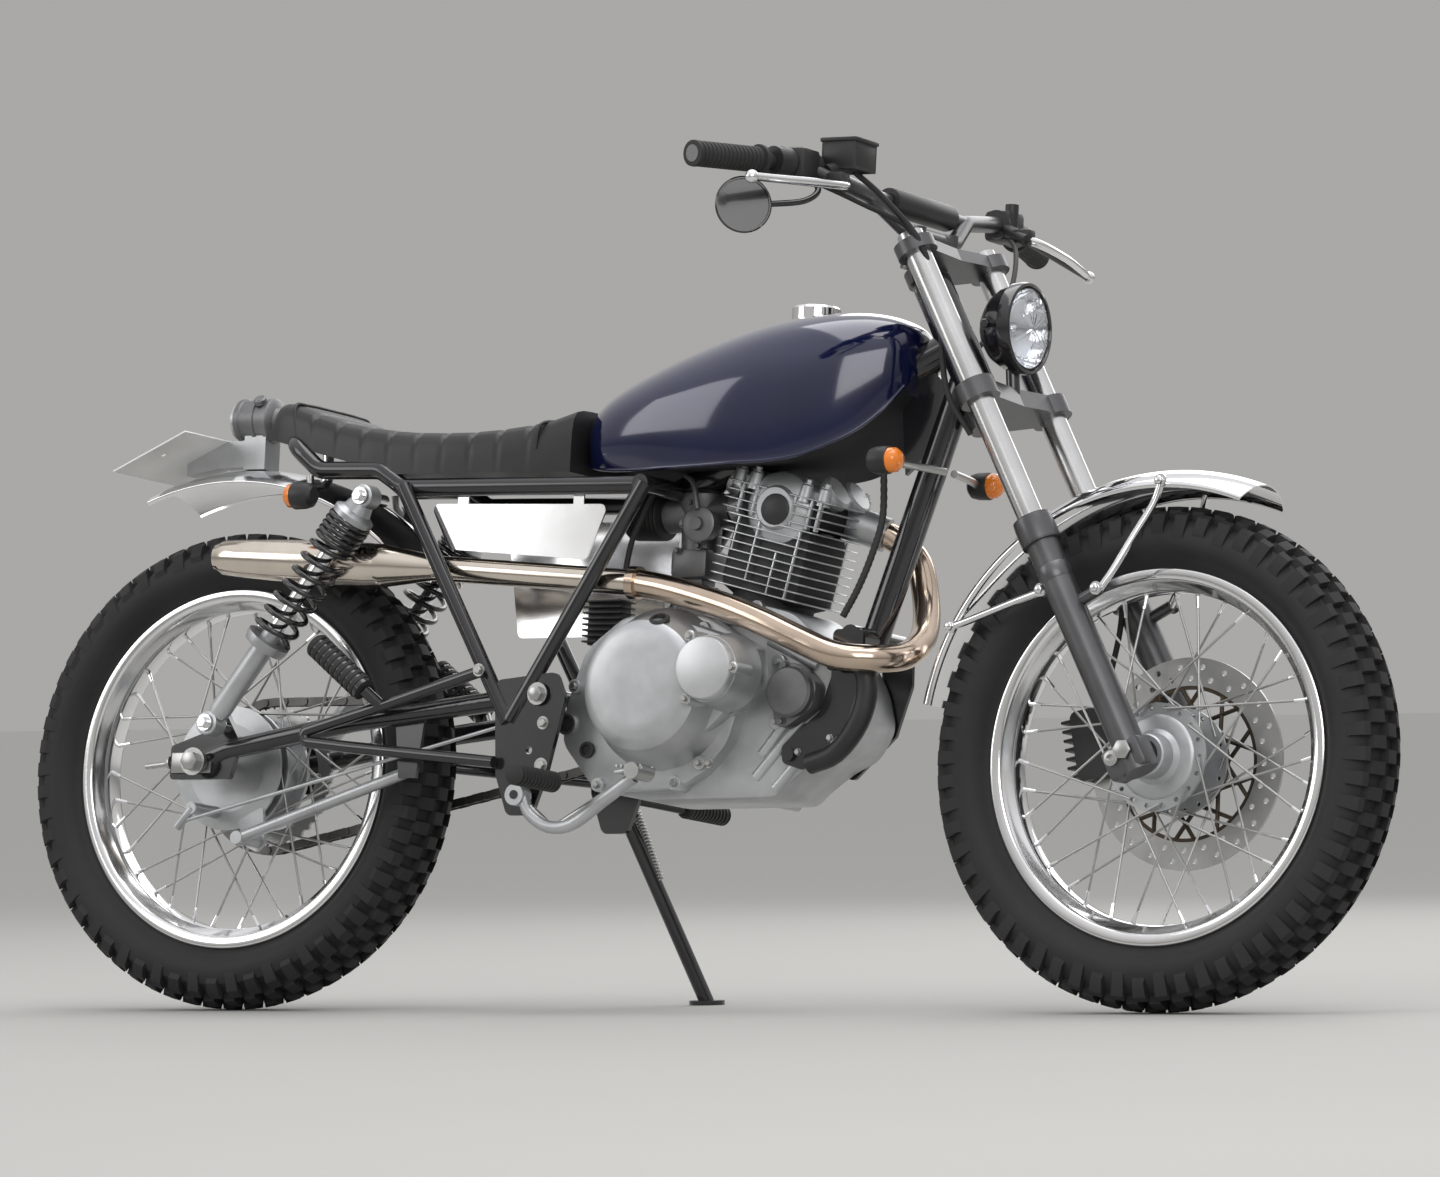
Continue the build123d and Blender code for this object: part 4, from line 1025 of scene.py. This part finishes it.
def makeHead():
    parts = []
    axis = boreFrame.to_3x3() @ Vector((0, 0, 1))
    for number in range(4):
        addFin(parts, 172, 128, 100 + number * bore["pitch"], shift=2)
    for x, low, high in ((-52, 96, 136), (-30, 96, 136), (30, 96, 136), (56, 96, 136), (70, 96, 136)):
        for y in (-58, 58):
            block(parts, (0, 0, 0), (4, 8, high - low), 0.8,
                  boreFrame @ Matrix.Translation((x, y, (low + high) / 2)))
    lathe(parts, [(94, 0), (94, 57), (140, 57), (140, 0)], boreFrame.translation, axis, 48)
    cover = [(-76, -50), (76, -50), (76, 50), (-76, 50)]
    outline = roundedOutline(cover, 18, 6)
    rings = []
    for layer, level in ((outline, 134), (outline, 146), (inset(outline, 2), 149),
                         (inset(outline, 16), 156)):
        rings.append([boreFrame @ Vector((p.x, p.y, level)) for p in layer])
    skin(parts, rings)
    x, z = 850, 654
    sideLathe(parts, [(-66, 0), (-66, 26), (-64, 28), (-60, 30), (-57, 42), (-52, 48), (-44, 50),
                     (30, 50), (44, 47), (50, 40), (50, 0)], x, z, 64)
    for spot in ((-66, -50), (-66, 50), (66, -50), (66, 50), (0, 54), (-40, -54), (40, -54)):
        foot = boreFrame @ Vector((spot[0], spot[1], 130))
        lathe(parts, [(0, 0), (0, 10), (22, 8.5), (24, 7), (24, 0)], foot, axis, 20)
        bolt(parts, foot + axis * 24, axis, size=5.6, height=7)
    for y in (-26, 26):
        lathe(parts, [(0, 0), (0, 22), (14, 21), (16, 24), (26, 24), (29, 20), (29, 0)],
              (900, y, 664), (0.86, 0, 0.5), 40)
        lathe(parts, [(0, 0), (0, 22), (12, 21), (14, 24), (22, 24), (25, 20), (25, 0)],
              (790, y, 684), (-0.75, 0, 0.66), 40)
    tube(parts, [(885, 22, 652), (930, 36, 638), (958, 45, 628)], 23, sides=24)
    tube(parts, [(800, 0, 674), (752, 0, 660)], 22, sides=24)
    finishMesh("headCasting", parts, "chassis", "engineSilver", ["cylinder_head"],
               smooth=30)
    plug = []
    sideLathe(plug, [(-64, 0), (-64, 21), (-68, 20.5), (-69, 19), (-69, 0)], x + 2.5, z - 3, 48)
    finishMesh("camPlug", plug, "chassis", "satinBlack")


def makeCarburettor():
    parts = []
    tube(parts, [(752, 0, 660), (652, 0, 654)], 23, sides=28)
    lathe(parts, [(600, 0), (600, 26), (655, 27), (672, 33), (680, 33), (686, 26), (690, 0)],
          (702, 0, 0), (0, 0, 1), 40)
    block(parts, (700, 0, 588), (56, 58, 40), 7)
    block(parts, (700, 0, 566), (34, 36, 14), 4)
    sideLathe(parts, [(-30, 0), (-30, 20), (-46, 20), (-48, 24), (-53, 24), (-55, 21), (-55, 9),
                     (-60, 8), (-60, 0)], 728, 636, 40)
    for x, z in ((702, 668), (716, 610), (684, 604), (690, 640)):
        bolt(parts, (x, -29, z), (0, -1, 0), size=4.5, height=6)
    tube(parts, smoothRoute([(728, -56, 655), (716, -50, 690), (700, -44, 702)], 4), 4, sides=8)
    finishMesh("carburettorBody", parts, "chassis", "darkCasting", ["carburettor"])
    pod = []
    profile = [(0, 0), (0, 24), (3, 33)]
    for pleat in range(8):
        profile += [(5 + pleat * 6.0, 34), (8 + pleat * 6.0, 30)]
    profile += [(53, 33), (56, 28), (56, 0)]
    lathe(pod, profile, (651, 0, 655), (-1, 0, 0.03), 40)
    finishMesh("airFilterPod", pod, "chassis", "gripRubber", ["air_filter"])
    cooler = []
    block(cooler, (604, -62, 506), (54, 22, 60), 2)
    for row in range(8):
        block(cooler, (604, -64, 480 + row * 7.6), (58, 38, 2.4), 0.5)
    finishMesh("regulatorFins", cooler, "chassis", "satinBlack", ["regulator"])


makeCylinder()
makeHead()
makeCarburettor()
print("cylinder, head and carburettor made")

# Chain with its links, and the toothed sprocket
chain = {"rear": (0.0, 322.0, 101.0), "front": (600.0, 387.0, 38.0), "line": 70.0, "pitch": 15.875,
         "plate": 5.6, "teeth": 40}


# Points one pitch apart along the pitch line round both sprockets
def chainRoute():
    (rx, rz, big), (fx, fz, small) = chain["rear"], chain["front"]
    gap = math.hypot(fx - rx, fz - rz)
    slope = math.atan2(fz - rz, fx - rx)
    splay = math.asin((big - small) / gap)
    run = gap * math.cos(splay)
    upper, lower = slope - splay + math.pi / 2, slope + splay - math.pi / 2
    frontArc, rearArc = small * (math.pi - 2 * splay), big * (math.pi + 2 * splay)
    total = 2 * run + frontArc + rearArc
    count = 2 * round(total / chain["pitch"] / 2)
    route = []
    for link in range(count):
        way = total * link / count
        if way < run:
            t = way / run
            start = Vector((rx + big * math.cos(upper), 0, rz + big * math.sin(upper)))
            end = Vector((fx + small * math.cos(upper), 0, fz + small * math.sin(upper)))
            route.append(start.lerp(end, t))
        elif way < run + frontArc:
            angle = upper - (way - run) / small
            route.append(Vector((fx + small * math.cos(angle), 0, fz + small * math.sin(angle))))
        elif way < 2 * run + frontArc:
            t = (way - run - frontArc) / run
            start = Vector((fx + small * math.cos(lower), 0, fz + small * math.sin(lower)))
            end = Vector((rx + big * math.cos(lower), 0, rz + big * math.sin(lower)))
            route.append(start.lerp(end, t))
        else:
            angle = lower - (way - 2 * run - frontArc) / big
            route.append(Vector((rx + big * math.cos(angle), 0, rz + big * math.sin(angle))))
    return route


def makeChain():
    parts = []
    route = chainRoute()
    for link, spot in enumerate(route):
        after = route[(link + 1) % len(route)]
        along = (after - spot).normalized()
        up = Vector((-along.z, 0, along.x))
        sideways = 4.6 if link % 2 else 6.3
        length = (after - spot).length
        shape = []
        for end, way in ((0, -1), (length, 1)):
            for turn in range(7):
                angle = math.pi / 2 + math.pi * turn / 6
                if way > 0:
                    angle -= math.pi
                shape.append((end + chain["plate"] * math.cos(angle), chain["plate"] * math.sin(angle)))
        for side in (-1, 1):
            rings = []
            for y in (chain["line"] + side * sideways, chain["line"] + side * (sideways + 1.5)):
                rings.append([spot + along * a + up * b + Vector((0, y, 0)) for a, b in shape])
            skin(parts, rings)
        lathe(parts, [(-7.9, 0), (-7.9, 2.4), (-4, 2.4), (-4, 4.6), (4, 4.6), (4, 2.4), (7.9, 2.4),
                     (7.9, 0)], spot + Vector((0, chain["line"], 0)), (0, 1, 0), steps=8)
    finishMesh("chainLinks", parts, "chassis", "chainSteel", ["chain"], smooth=30)
    teeth = []
    x, z, radius = chain["rear"]
    count = chain["teeth"]
    outline = []
    for tooth in range(count):
        for share, reach in ((0.0, 94.2), (0.2, 94.2), (0.36, 97.5), (0.64, 97.5), (0.8, 94.2)):
            angle = 2 * math.pi * (tooth + share) / count
            outline.append((x + (reach - 3) * math.cos(angle), z + (reach - 3) * math.sin(angle)))
    rimHole = [(x + 74 * math.cos(2 * math.pi * i / len(outline)),
                z + 74 * math.sin(2 * math.pi * i / len(outline))) for i in range(len(outline))]
    section = ((outline, 67.5), (outline, 72.5), (rimHole, 72.5), (rimHole, 67.5), (outline, 67.5))
    skin(teeth, [[(a, y, b) for a, b in edge] for edge, y in section], ends=False)
    for arm in range(6):
        angle = 2 * math.pi * arm / 6
        tube(teeth, [(x + 30 * math.cos(angle), 70, z + 30 * math.sin(angle)),
                     (x + 77 * math.cos(angle), 70, z + 77 * math.sin(angle))],
             [5.5, 4.0], sides=10)
        spot = (x + 58 * math.cos(angle), 72, z + 58 * math.sin(angle))
        bolt(teeth, spot, (0, 1, 0), size=5, height=4)
    lathe(teeth, [(67.2, 10), (67.2, 36), (72.8, 36), (72.8, 10)], (x, 0, z), (0, 1, 0), 48,
          closed=True)
    finishMesh("sprocketTeeth", teeth, "rear_wheel", "steel", ["sprocket"], smooth=30)


makeChain()
print("chain and sprocket made")

# Fenders: arched strips with rolled edges
fenders = {
    "front": {"centre": (1420.0, 335.0), "crown": 362.0, "edge": 338.0, "half": 60.0,
              "first": 170.0, "last": 70.0},
    "rear": {"centre": (0.0, 322.0), "crown": 408.0, "edge": 386.0, "half": 65.0,
             "first": 111.0, "last": 41.0},
}


def addStrip(parts, fender):
    x, z = fender["centre"]
    rise = fender["crown"] - fender["edge"]
    half = fender["half"]
    curve = (half * half + rise * rise) / (2 * rise)
    section = []
    for step in range(17):
        y = -half + 2 * half * step / 16
        section.append((y, fender["crown"] - curve + math.sqrt(curve * curve - y * y)))
    outer = [(-half, fender["edge"] - 3.5)] + section + [(half, fender["edge"] - 3.5)]
    inner = [(y * 0.97, r - 2) for y, r in outer]
    profile = outer + list(reversed(inner))
    rings = []
    count = 90
    for step in range(count + 1):
        angle = math.radians(fender["first"] + (fender["last"] - fender["first"]) * step / count)
        rings.append([(x + r * math.cos(angle), y, z + r * math.sin(angle)) for y, r in profile])
    skin(parts, rings)


def makeFenders():
    parts = []
    addStrip(parts, fenders["front"])
    for side in (-1, 1):
        tube(parts, smoothRoute([(1421, side * 61, 674), (1412, side * 64, 645), (1392, side * 74, 605),
                                (1372, side * 88, 560), (1357, side * 95, 534)], 5), 5, sides=14)
        tube(parts, smoothRoute([(1122, side * 61, 493), (1150, side * 66, 500),
                                (1225, side * 84, 520), (1276, side * 95, 533)], 5), 5, sides=14)
        for x, y, z in ((1421, 63, 676), (1122, 63, 493), (1357, 105, 534), (1276, 105, 533)):
            bolt(parts, (x, side * y, z), (0, side, 0), size=7, height=8)
    finishMesh("frontFenderChrome", parts, "steering", "chrome", ["front_fender"], smooth=50)
    rear = []
    addStrip(rear, fenders["rear"])
    tube(rear, [(108, 0, 712), (108, 0, 750)], 8, sides=16)
    finishMesh("rearFenderPolished", rear, "chassis", "polished",
               ["rear_fender"], smooth=50)


makeFenders()

# Headlight: a black bowl with its bezel, a reflector and a fluted glass
headlight = {"height": 888.0, "flute": 3.4, "fluteDepth": 0.5, "bulge": 7.0, "glass": 53.0}


def makeHeadlight():
    centre = (0, 0, headlight["height"])
    shell = []
    lathe(shell, [(1118, 0), (1119, 14), (1126, 30), (1138, 45), (1152, 54), (1166, 57.5), (1168, 60),
                  (1180, 60.5), (1184, 59), (1185, 55), (1181, 53), (1166, 52), (1140, 40),
                  (1124, 14), (1122, 0)], centre, (1, 0, 0), 80)
    tube(shell, [(1161, 0, 836), (1164, 0, 802)], 9, sides=16)
    for side in (-1, 1):
        bolt(shell, (1150, side * 53, headlight["height"]), (0, side, 0), size=7, height=8)
    finishMesh("headlightBowl", shell, "steering", "blackGloss", ["headlight_shell"],
               smooth=40)
    mirror = []
    lathe(mirror, [(1180, 51.5), (1168, 48), (1156, 38), (1148, 22), (1146, 9), (1160, 8), (1163, 5),
                   (1164, 0)], centre, (1, 0, 0), 64)
    finishMesh("headlightReflector", mirror, "steering", "chrome", smooth=60)
    glass = []
    bulge, edge = headlight["bulge"], headlight["glass"]
    outer = [(1190 - bulge * (r / edge) ** 2, r) for r in (0, 8, 16, 24, 32, 40, 47, edge)]
    inner = [(x - 3, r) for x, r in reversed(outer)]
    lathe(glass, outer + inner, centre, (1, 0, 0), 96)
    for vert in glass[0].data.vertices:
        reach = math.hypot(vert.co.y, vert.co.z - headlight["height"]) / edge
        if vert.co.x < 1187.5 - bulge * reach ** 2:    # the inner face stays smooth
            continue
        vert.co.x += headlight["fluteDepth"] * math.cos(2 * math.pi * vert.co.y / headlight["flute"])
    finishMesh("headlightGlass", glass, "steering", "clearGlass", ["headlight_lens"],
               smooth=60)


makeHeadlight()

# Handlebar fittings: grips, lever blades, fluid reservoir, crossbar pad, mirror
controls = {
    "grip": {"inner": (966, 335, 1065), "outer": (935, 450, 1057), "ridges": 15, "pitch": 7.0},
    "lever": [(1036, 240, 1046), (1050, 262, 1040), (1046, 330, 1034), (1034, 390, 1029),
              (1021, 438, 1026)],
    "ball": {"spot": (1020, 441, 1025), "radius": 8.6},
    "reservoir": (1022, -205, 1086),
    "mirror": {"spot": (955, -353, 1004), "facing": (-0.66, 0.75, 0)},
    # thickness, then the way of each cable or hose
    "cables": [
        (4.0, [(1022, -190, 1070), (1045, -150, 1040), (1080, -110, 985), (1098, -88, 900),
               (1112, -84, 800), (1150, -82, 740)]),
        (3.4, [(985, -262, 1055), (1030, -190, 1030), (1068, -110, 1000), (1080, -70, 930),
               (1086, -40, 870)]),
        (3.4, [(1000, 255, 1052), (1050, 190, 1020), (1085, 120, 960), (1092, 60, 900),
               (1086, 30, 860)]),
        (4.0, [(1300, 72, 560), (1292, 80, 500), (1278, 84, 440), (1276, 78, 395)]),
    ],
}


def onSide(point, side):
    return Vector((point[0], side * point[1], point[2]))


def makeControls():
    rubber = []
    for side in (-1, 1):
        grip = controls["grip"]
        inner, outer = onSide(grip["inner"], side), onSide(grip["outer"], side)
        profile = [(-2, 12), (-2, 20), (3, 20), (4, 16)]
        for ridge in range(grip["ridges"]):
            start = ridge * grip["pitch"]
            profile += [(start + 8, 16.8), (start + 11.5, 16.8), (start + 12.2, 15.4),
                        (start + 14.6, 15.4)]
        profile += [(114, 17.4), (118.5, 17), (119, 14), (119, 0)]
        lathe(rubber, profile, inner, outer - inner, 32)
    finishMesh("gripsRibbed", rubber, "steering", "gripRubber", ["grips"], smooth=30)
    blades = []
    for side in (-1, 1):
        route = smoothRoute([onSide(point, side) for point in controls["lever"]], 6)
        radii = [6.2 - 1.4 * i / (len(route) - 1) for i in range(len(route))]
        tube(blades, route, radii, sides=14)
        clearSelection()
        bpy.ops.mesh.primitive_uv_sphere_add(segments=20, ring_count=12, calc_uvs=False,
                                             radius=controls["ball"]["radius"])
        ball = bpy.context.object
        ball.data.transform(Matrix.Translation(onSide(controls["ball"]["spot"], side)))
        blades.append(ball)
    finishMesh("leverBlades", blades, "steering", "polished", smooth=60)
    black = []
    x, y, z = controls["reservoir"]
    block(black, (x, y, z), (51, 55, 36), 5)
    block(black, (x, y, z + 20), (55, 59, 6), 2)
    for dx in (-18, 18):
        bolt(black, (x + dx, y - 17, z + 22), (0, 0, 1), size=3, height=2)
    lathe(black, [(-78, 10), (-78, 17), (-74, 18), (74, 18), (78, 17), (78, 10)], (1009, 0, 1050),
          (0, 1, 0), 32)
    for side in (-1, 1):
        block(black, (986, side * 268, 1068), (40, 44, 42), 7)
        lathe(black, [(-14, 0), (-14, 19), (14, 19), (14, 0)], (978, side * 304, 1067),
              (-0.2, side, -0.03), 28)
        block(black, (1030, side * 244, 1050), (26, 22, 20), 4)
    finishMesh("reservoirAndPad", black, "steering", "satinBlack")
    glass = []
    lathe(glass, [(-8, 0), (-8, 16), (-4, 30), (0, 36), (6, 37), (8, 35), (8, 33.5), (5, 33), (5, 0)],
          controls["mirror"]["spot"], -Vector(controls["mirror"]["facing"]), 56)
    tube(glass, smoothRoute([(992, -262, 1060), (1012, -262, 1036), (1004, -284, 1018),
                             (972, -318, 1010), (958, -345, 1004)], 6), 4.2, sides=10)
    finishMesh("mirrorShell", glass, "steering", "blackGloss", ["mirror"], smooth=40)
    cables = []
    for thickness, way in controls["cables"]:
        tube(cables, smoothRoute(way, 6), thickness, sides=8)
    finishMesh("barCables", cables, "steering", "gripRubber", smooth=60)


makeControls()

# Indicators: black shells, orange glasses, and their arms
indicator = {
    "spread": 132,
    # x, z, the way it faces along the machine, depth of its glass
    "lamps": ((1030, 702, 1, 18), (176, 676, -1, 15)),
    "frontArm": [(1046, 120, 702), (1060, 80, 702), (1074, 12, 702)],
    "rearArm": [(156, 120, 678), (152, 106, 690), (150, 105, 706)],
    "arm": 5.2,
}


def makeIndicators():
    shells, lenses, arms = [], [], []
    for side in (-1, 1):
        for x, z, way, depth in indicator["lamps"]:
            spot = (x, side * indicator["spread"], z)
            lathe(shells, [(0, 0), (0.5, 11), (5, 16), (14, 18), (29, 18.5), (31, 17.5), (31, 0)],
                  spot, (way, 0, 0), 40)
            lathe(lenses, [(30, 0), (30, 16.5), (31 + depth * 0.5, 16), (31 + depth * 0.85, 11),
                           (31 + depth, 0)], spot, (way, 0, 0), 40)
        tube(arms, smoothRoute([onSide(point, side) for point in indicator["frontArm"]], 5),
             indicator["arm"], sides=14)
        tube(arms, [onSide(point, side) for point in indicator["rearArm"]], indicator["arm"], sides=14)
    finishMesh("indicatorShells", shells, "chassis", "satinBlack")
    finishMesh("indicatorLenses", lenses, "chassis", "orangeLens", ["indicators"],
               smooth=50)
    finishMesh("indicatorArms", arms, "chassis", "steel", smooth=60)


makeIndicators()
print("fenders, headlight, controls and indicators made")

# Front hub with its drilled flanges, slider feet and caliper fins


def makeHub():
    wheel = wheels["front"]
    parts = []
    wheelLathe(parts, [(-60, 8.6), (-60, 25), (-58, 27), (-48, 28), (-38, 30), (-32, 36), (-31, 50),
                      (-29.5, 54), (-28.5, 55), (-28.5, 70), (-23.5, 70), (-23.5, 32), (30.5, 32),
                      (30.5, 70), (35.5, 70), (35.5, 35), (55, 33), (55, 27.2), (61.8, 27.2),
                      (61.8, 8.6)], wheel, steps=108, closed=True)
    hub = finishMesh("hubCasting", parts, "front_wheel", "engineSilver",
                     ["front_hub"], smooth=30)
    holes = []
    for first, last in ((-34, -18), (25, 41)):
        for number in range(18):
            angle = math.radians(number * 20)
            spot = (wheel["x"] + 63 * math.cos(angle), first, wheel["z"] + 63 * math.sin(angle))
            lathe(holes, [(0, 0), (0, 3.2), (last - first, 3.2), (last - first, 0)], spot,
                  (0, 1, 0), steps=12)
    cutWith(hub, joinParts("cutter", holes))
    dark = []
    wheelLathe(dark, [(-60.4, 9), (-60.4, 19), (-60.9, 19), (-60.9, 9)], wheel, steps=48, closed=True)
    finishMesh("hubSeal", dark, "front_wheel", "satinBlack")


def makeForkFeet():
    parts, bolts = [], []
    upright = Matrix.Rotation(-rakeAngle, 4, "Y")
    for side in (-1, 1):
        block(parts, onFork(-6, side * 95, -8), (58, 40, 42), 6, upright)
        lathe(parts, [(-2, 21.4), (0, 22.4), (18, 22.4), (20, 21.4)], onFork(0, side * 95, 250),
              onFork(0, 0, 1) - onFork(0, 0, 0), 40)
        lathe(parts, [(0, 21.4), (2, 26.2), (14, 26.6), (30, 26.2), (36, 25.6), (37.5, 19), (40, 18)],
              onFork(0, side * 95, 303), onFork(0, 0, 1) - onFork(0, 0, 0), 48)
        spot = onFork(-20, side * 115, -2)
        lathe(bolts, [(0, 10), (4, 10), (5, 8.5), (5, 5), (1, 5), (1, 0)], spot, (0, side, 0), 28)
        lathe(bolts, [(0, 0), (0, 13), (3, 13), (4, 11), (4, 0)],
              (1413, side * 119, 325), (0, side, 0), 6)
    finishMesh("forkFeet", parts, "steering", "forkGrey", smooth=30)
    finishMesh("forkFootBolts", bolts, "steering", "steel")
    caliper = []
    lean = Matrix.Rotation(math.radians(-12), 4, "Y")
    block(caliper, (1286, 62, 352), (52, 46, 88), 8, lean)
    for fin in range(7):
        spot = Matrix.Translation((1284, 62, 352)) @ lean @ Vector((-34, 0, -36 + fin * 12))
        block(caliper, spot, (24, 40, 4), 1.2, lean)
    finishMesh("caliperFins", caliper, "steering", "satinBlack")


makeHub()
makeForkFeet()
print("hub, fork feet and caliper made")

# Foot controls, axle adjusters, pivot bolts and tail lamp
footControls = {
    "peg": {"start": (595, 166, 285), "ribs": 11, "pitch": 8.4},
    "passengerPeg": {"start": (204, 150, 473), "end": (282, 150, 412), "ribs": 10, "pitch": 9.6},
    "pedal": [(538, -148, 266), (552, -149, 244), (582, -150, 228), (618, -150, 232),
              (662, -149, 262), (706, -148, 292)],
    "lever": [(668, 122, 340), (700, 124, 322), (740, 124, 300), (770, 124, 288)],
    # x, distance from the middle, z, size, height
    "bolts": [(0, 127, 322, 15, 12), (540, 129, 406, 12, 9), (548, 124, 368, 7, 6),
              (548, 124, 312, 8, 6), (505, 124, 275, 8, 6), (940, 36, 470, 8, 6), (455, 141, 437, 7, 6)],
    "harness": [(995, -34, 705), (1001, -42, 640), (992, -50, 590), (978, -58, 545), (962, -66, 508)],
    "wire": [(655, -40, 690), (640, -48, 650), (628, -56, 610), (620, -60, 545)],
}


def makeFootControls():
    rubber = []
    for side in (-1, 1):
        profile = [(-2, 0), (-2, 11)]
        peg, rear = footControls["peg"], footControls["passengerPeg"]
        for rib in range(peg["ribs"]):
            at = rib * peg["pitch"]
            profile += [(at + 2, 14), (at + 6, 14), (at + 6.6, 12), (at + 9.6, 12)]
        profile += [(96, 14), (97, 12), (97, 0)]
        lathe(rubber, profile, onSide(peg["start"], side), (0, side, 0), 24)
        profile = [(-2, 0), (-2, 15)]
        for rib in range(rear["ribs"]):
            at = rib * rear["pitch"]
            profile += [(at + 1, 17.2), (at + 6, 17.2), (at + 6.8, 15), (at + 9.8, 15)]
        profile += [(99, 16), (100, 13), (100, 0)]
        start, end = onSide(rear["start"], side), onSide(rear["end"], side)
        lathe(rubber, profile, start, end - start, 28)
    finishMesh("pegRubbers", rubber, "chassis", "gripRubber", ["foot_pegs"],
               smooth=30)
    pedal = []
    tube(pedal, smoothRoute(footControls["pedal"], 6), 8.5, sides=20)
    lathe(pedal, [(-11, 0), (-11, 14), (11, 14), (11, 0)], (530, -148, 270), (0, 1, 0), 28)
    block(pedal, (708, -149, 300), (44, 34, 5), 1.5, Matrix.Rotation(math.radians(-8), 4, "Y"))
    for tooth in range(6):
        for edge in (-15, 15):
            block(pedal, (690 + tooth * 7.2, -149 + edge, 305), (3.4, 4, 5), 0.8)
    finishMesh("brakePedalArm", pedal, "chassis", "engineSilver")
    lever = []
    tube(lever, smoothRoute(footControls["lever"], 5), 7, sides=16)
    finishMesh("gearLeverArm", lever, "chassis", "engineSilver")
    small = []
    for side in (-1, 1):
        block(small, (-14, side * 108.5, 322), (64, 5, 28), 2)
        tube(small, [(-36, side * 101, 324), (-92, side * 101, 318)], 4, sides=12)
        bolt(small, (-52, side * 101, 322.3), (-1, 0, -0.1), size=8, height=7)
        for x, y, z, size, height in footControls["bolts"]:
            bolt(small, (x, side * y, z), (0, side, 0), size=size, height=height)
    finishMesh("adjustersAndBolts", small, "chassis", "steel")
    lamp = []
    lathe(lamp, [(-40, 0), (-40, 18), (-38, 22), (-34, 24), (-33, 27), (-30, 30.5), (-24, 30.5),
                 (-22, 28.4), (-6, 28.4), (-5, 30), (0, 30), (1, 28.4), (12, 28.4), (13, 30),
                 (20, 30), (23, 27), (26, 18), (36, 15), (49, 13), (50, 0)],
          (0, 0, 798), (1, 0, 0), 56)
    lathe(lamp, [(0, 0), (0, 9), (6, 9), (8, 7), (8, 0)], (8, -20, 820), (0, -0.6, 0.8), 24)
    finishMesh("tailLampBody", lamp, "chassis", "darkCasting", smooth=30)
    plateEdge = []
    tilt = Matrix.Rotation(math.radians(-24.5), 4, "Y")
    for side in (-1, 1):
        spot = Matrix.Translation((-105.5, 0, 744.5)) @ tilt @ Vector((0, side * 96, 2))
        bolt(plateEdge, spot, tilt.to_3x3() @ Vector((0, 0, 1)), size=4.5, height=3)
    finishMesh("plateScrews", plateEdge, "chassis", "steel")
    harness = []
    route = smoothRoute(footControls["harness"], 12)
    radii = [5.0 if i % 2 else 4.3 for i in range(len(route))]
    tube(harness, route, radii, sides=12)
    tube(harness, smoothRoute(footControls["wire"], 6), 4, sides=10)
    finishMesh("wrappedHarness", harness, "chassis", "gripRubber", smooth=40)
    spring = []
    start, end = Vector((520, 148, 300)), Vector((560, 182, 170))
    along = (end - start).normalized()
    out = along.orthogonal().normalized()
    up = along.cross(out)
    coil = [start + along * (end - start).length * (0.15 + 0.7 * step / 220)
            + (out * math.cos(step * 0.6) + up * math.sin(step * 0.6)) * 6 for step in range(221)]
    tube(spring, [start] + coil + [end], 1.4, sides=6)
    finishMesh("standSpring", spring, "chassis", "steel", smooth=60)


makeFootControls()
print("foot controls, adjusters and tail lamp made")

for form in turnedForms.values():
    bpy.data.meshes.remove(form)
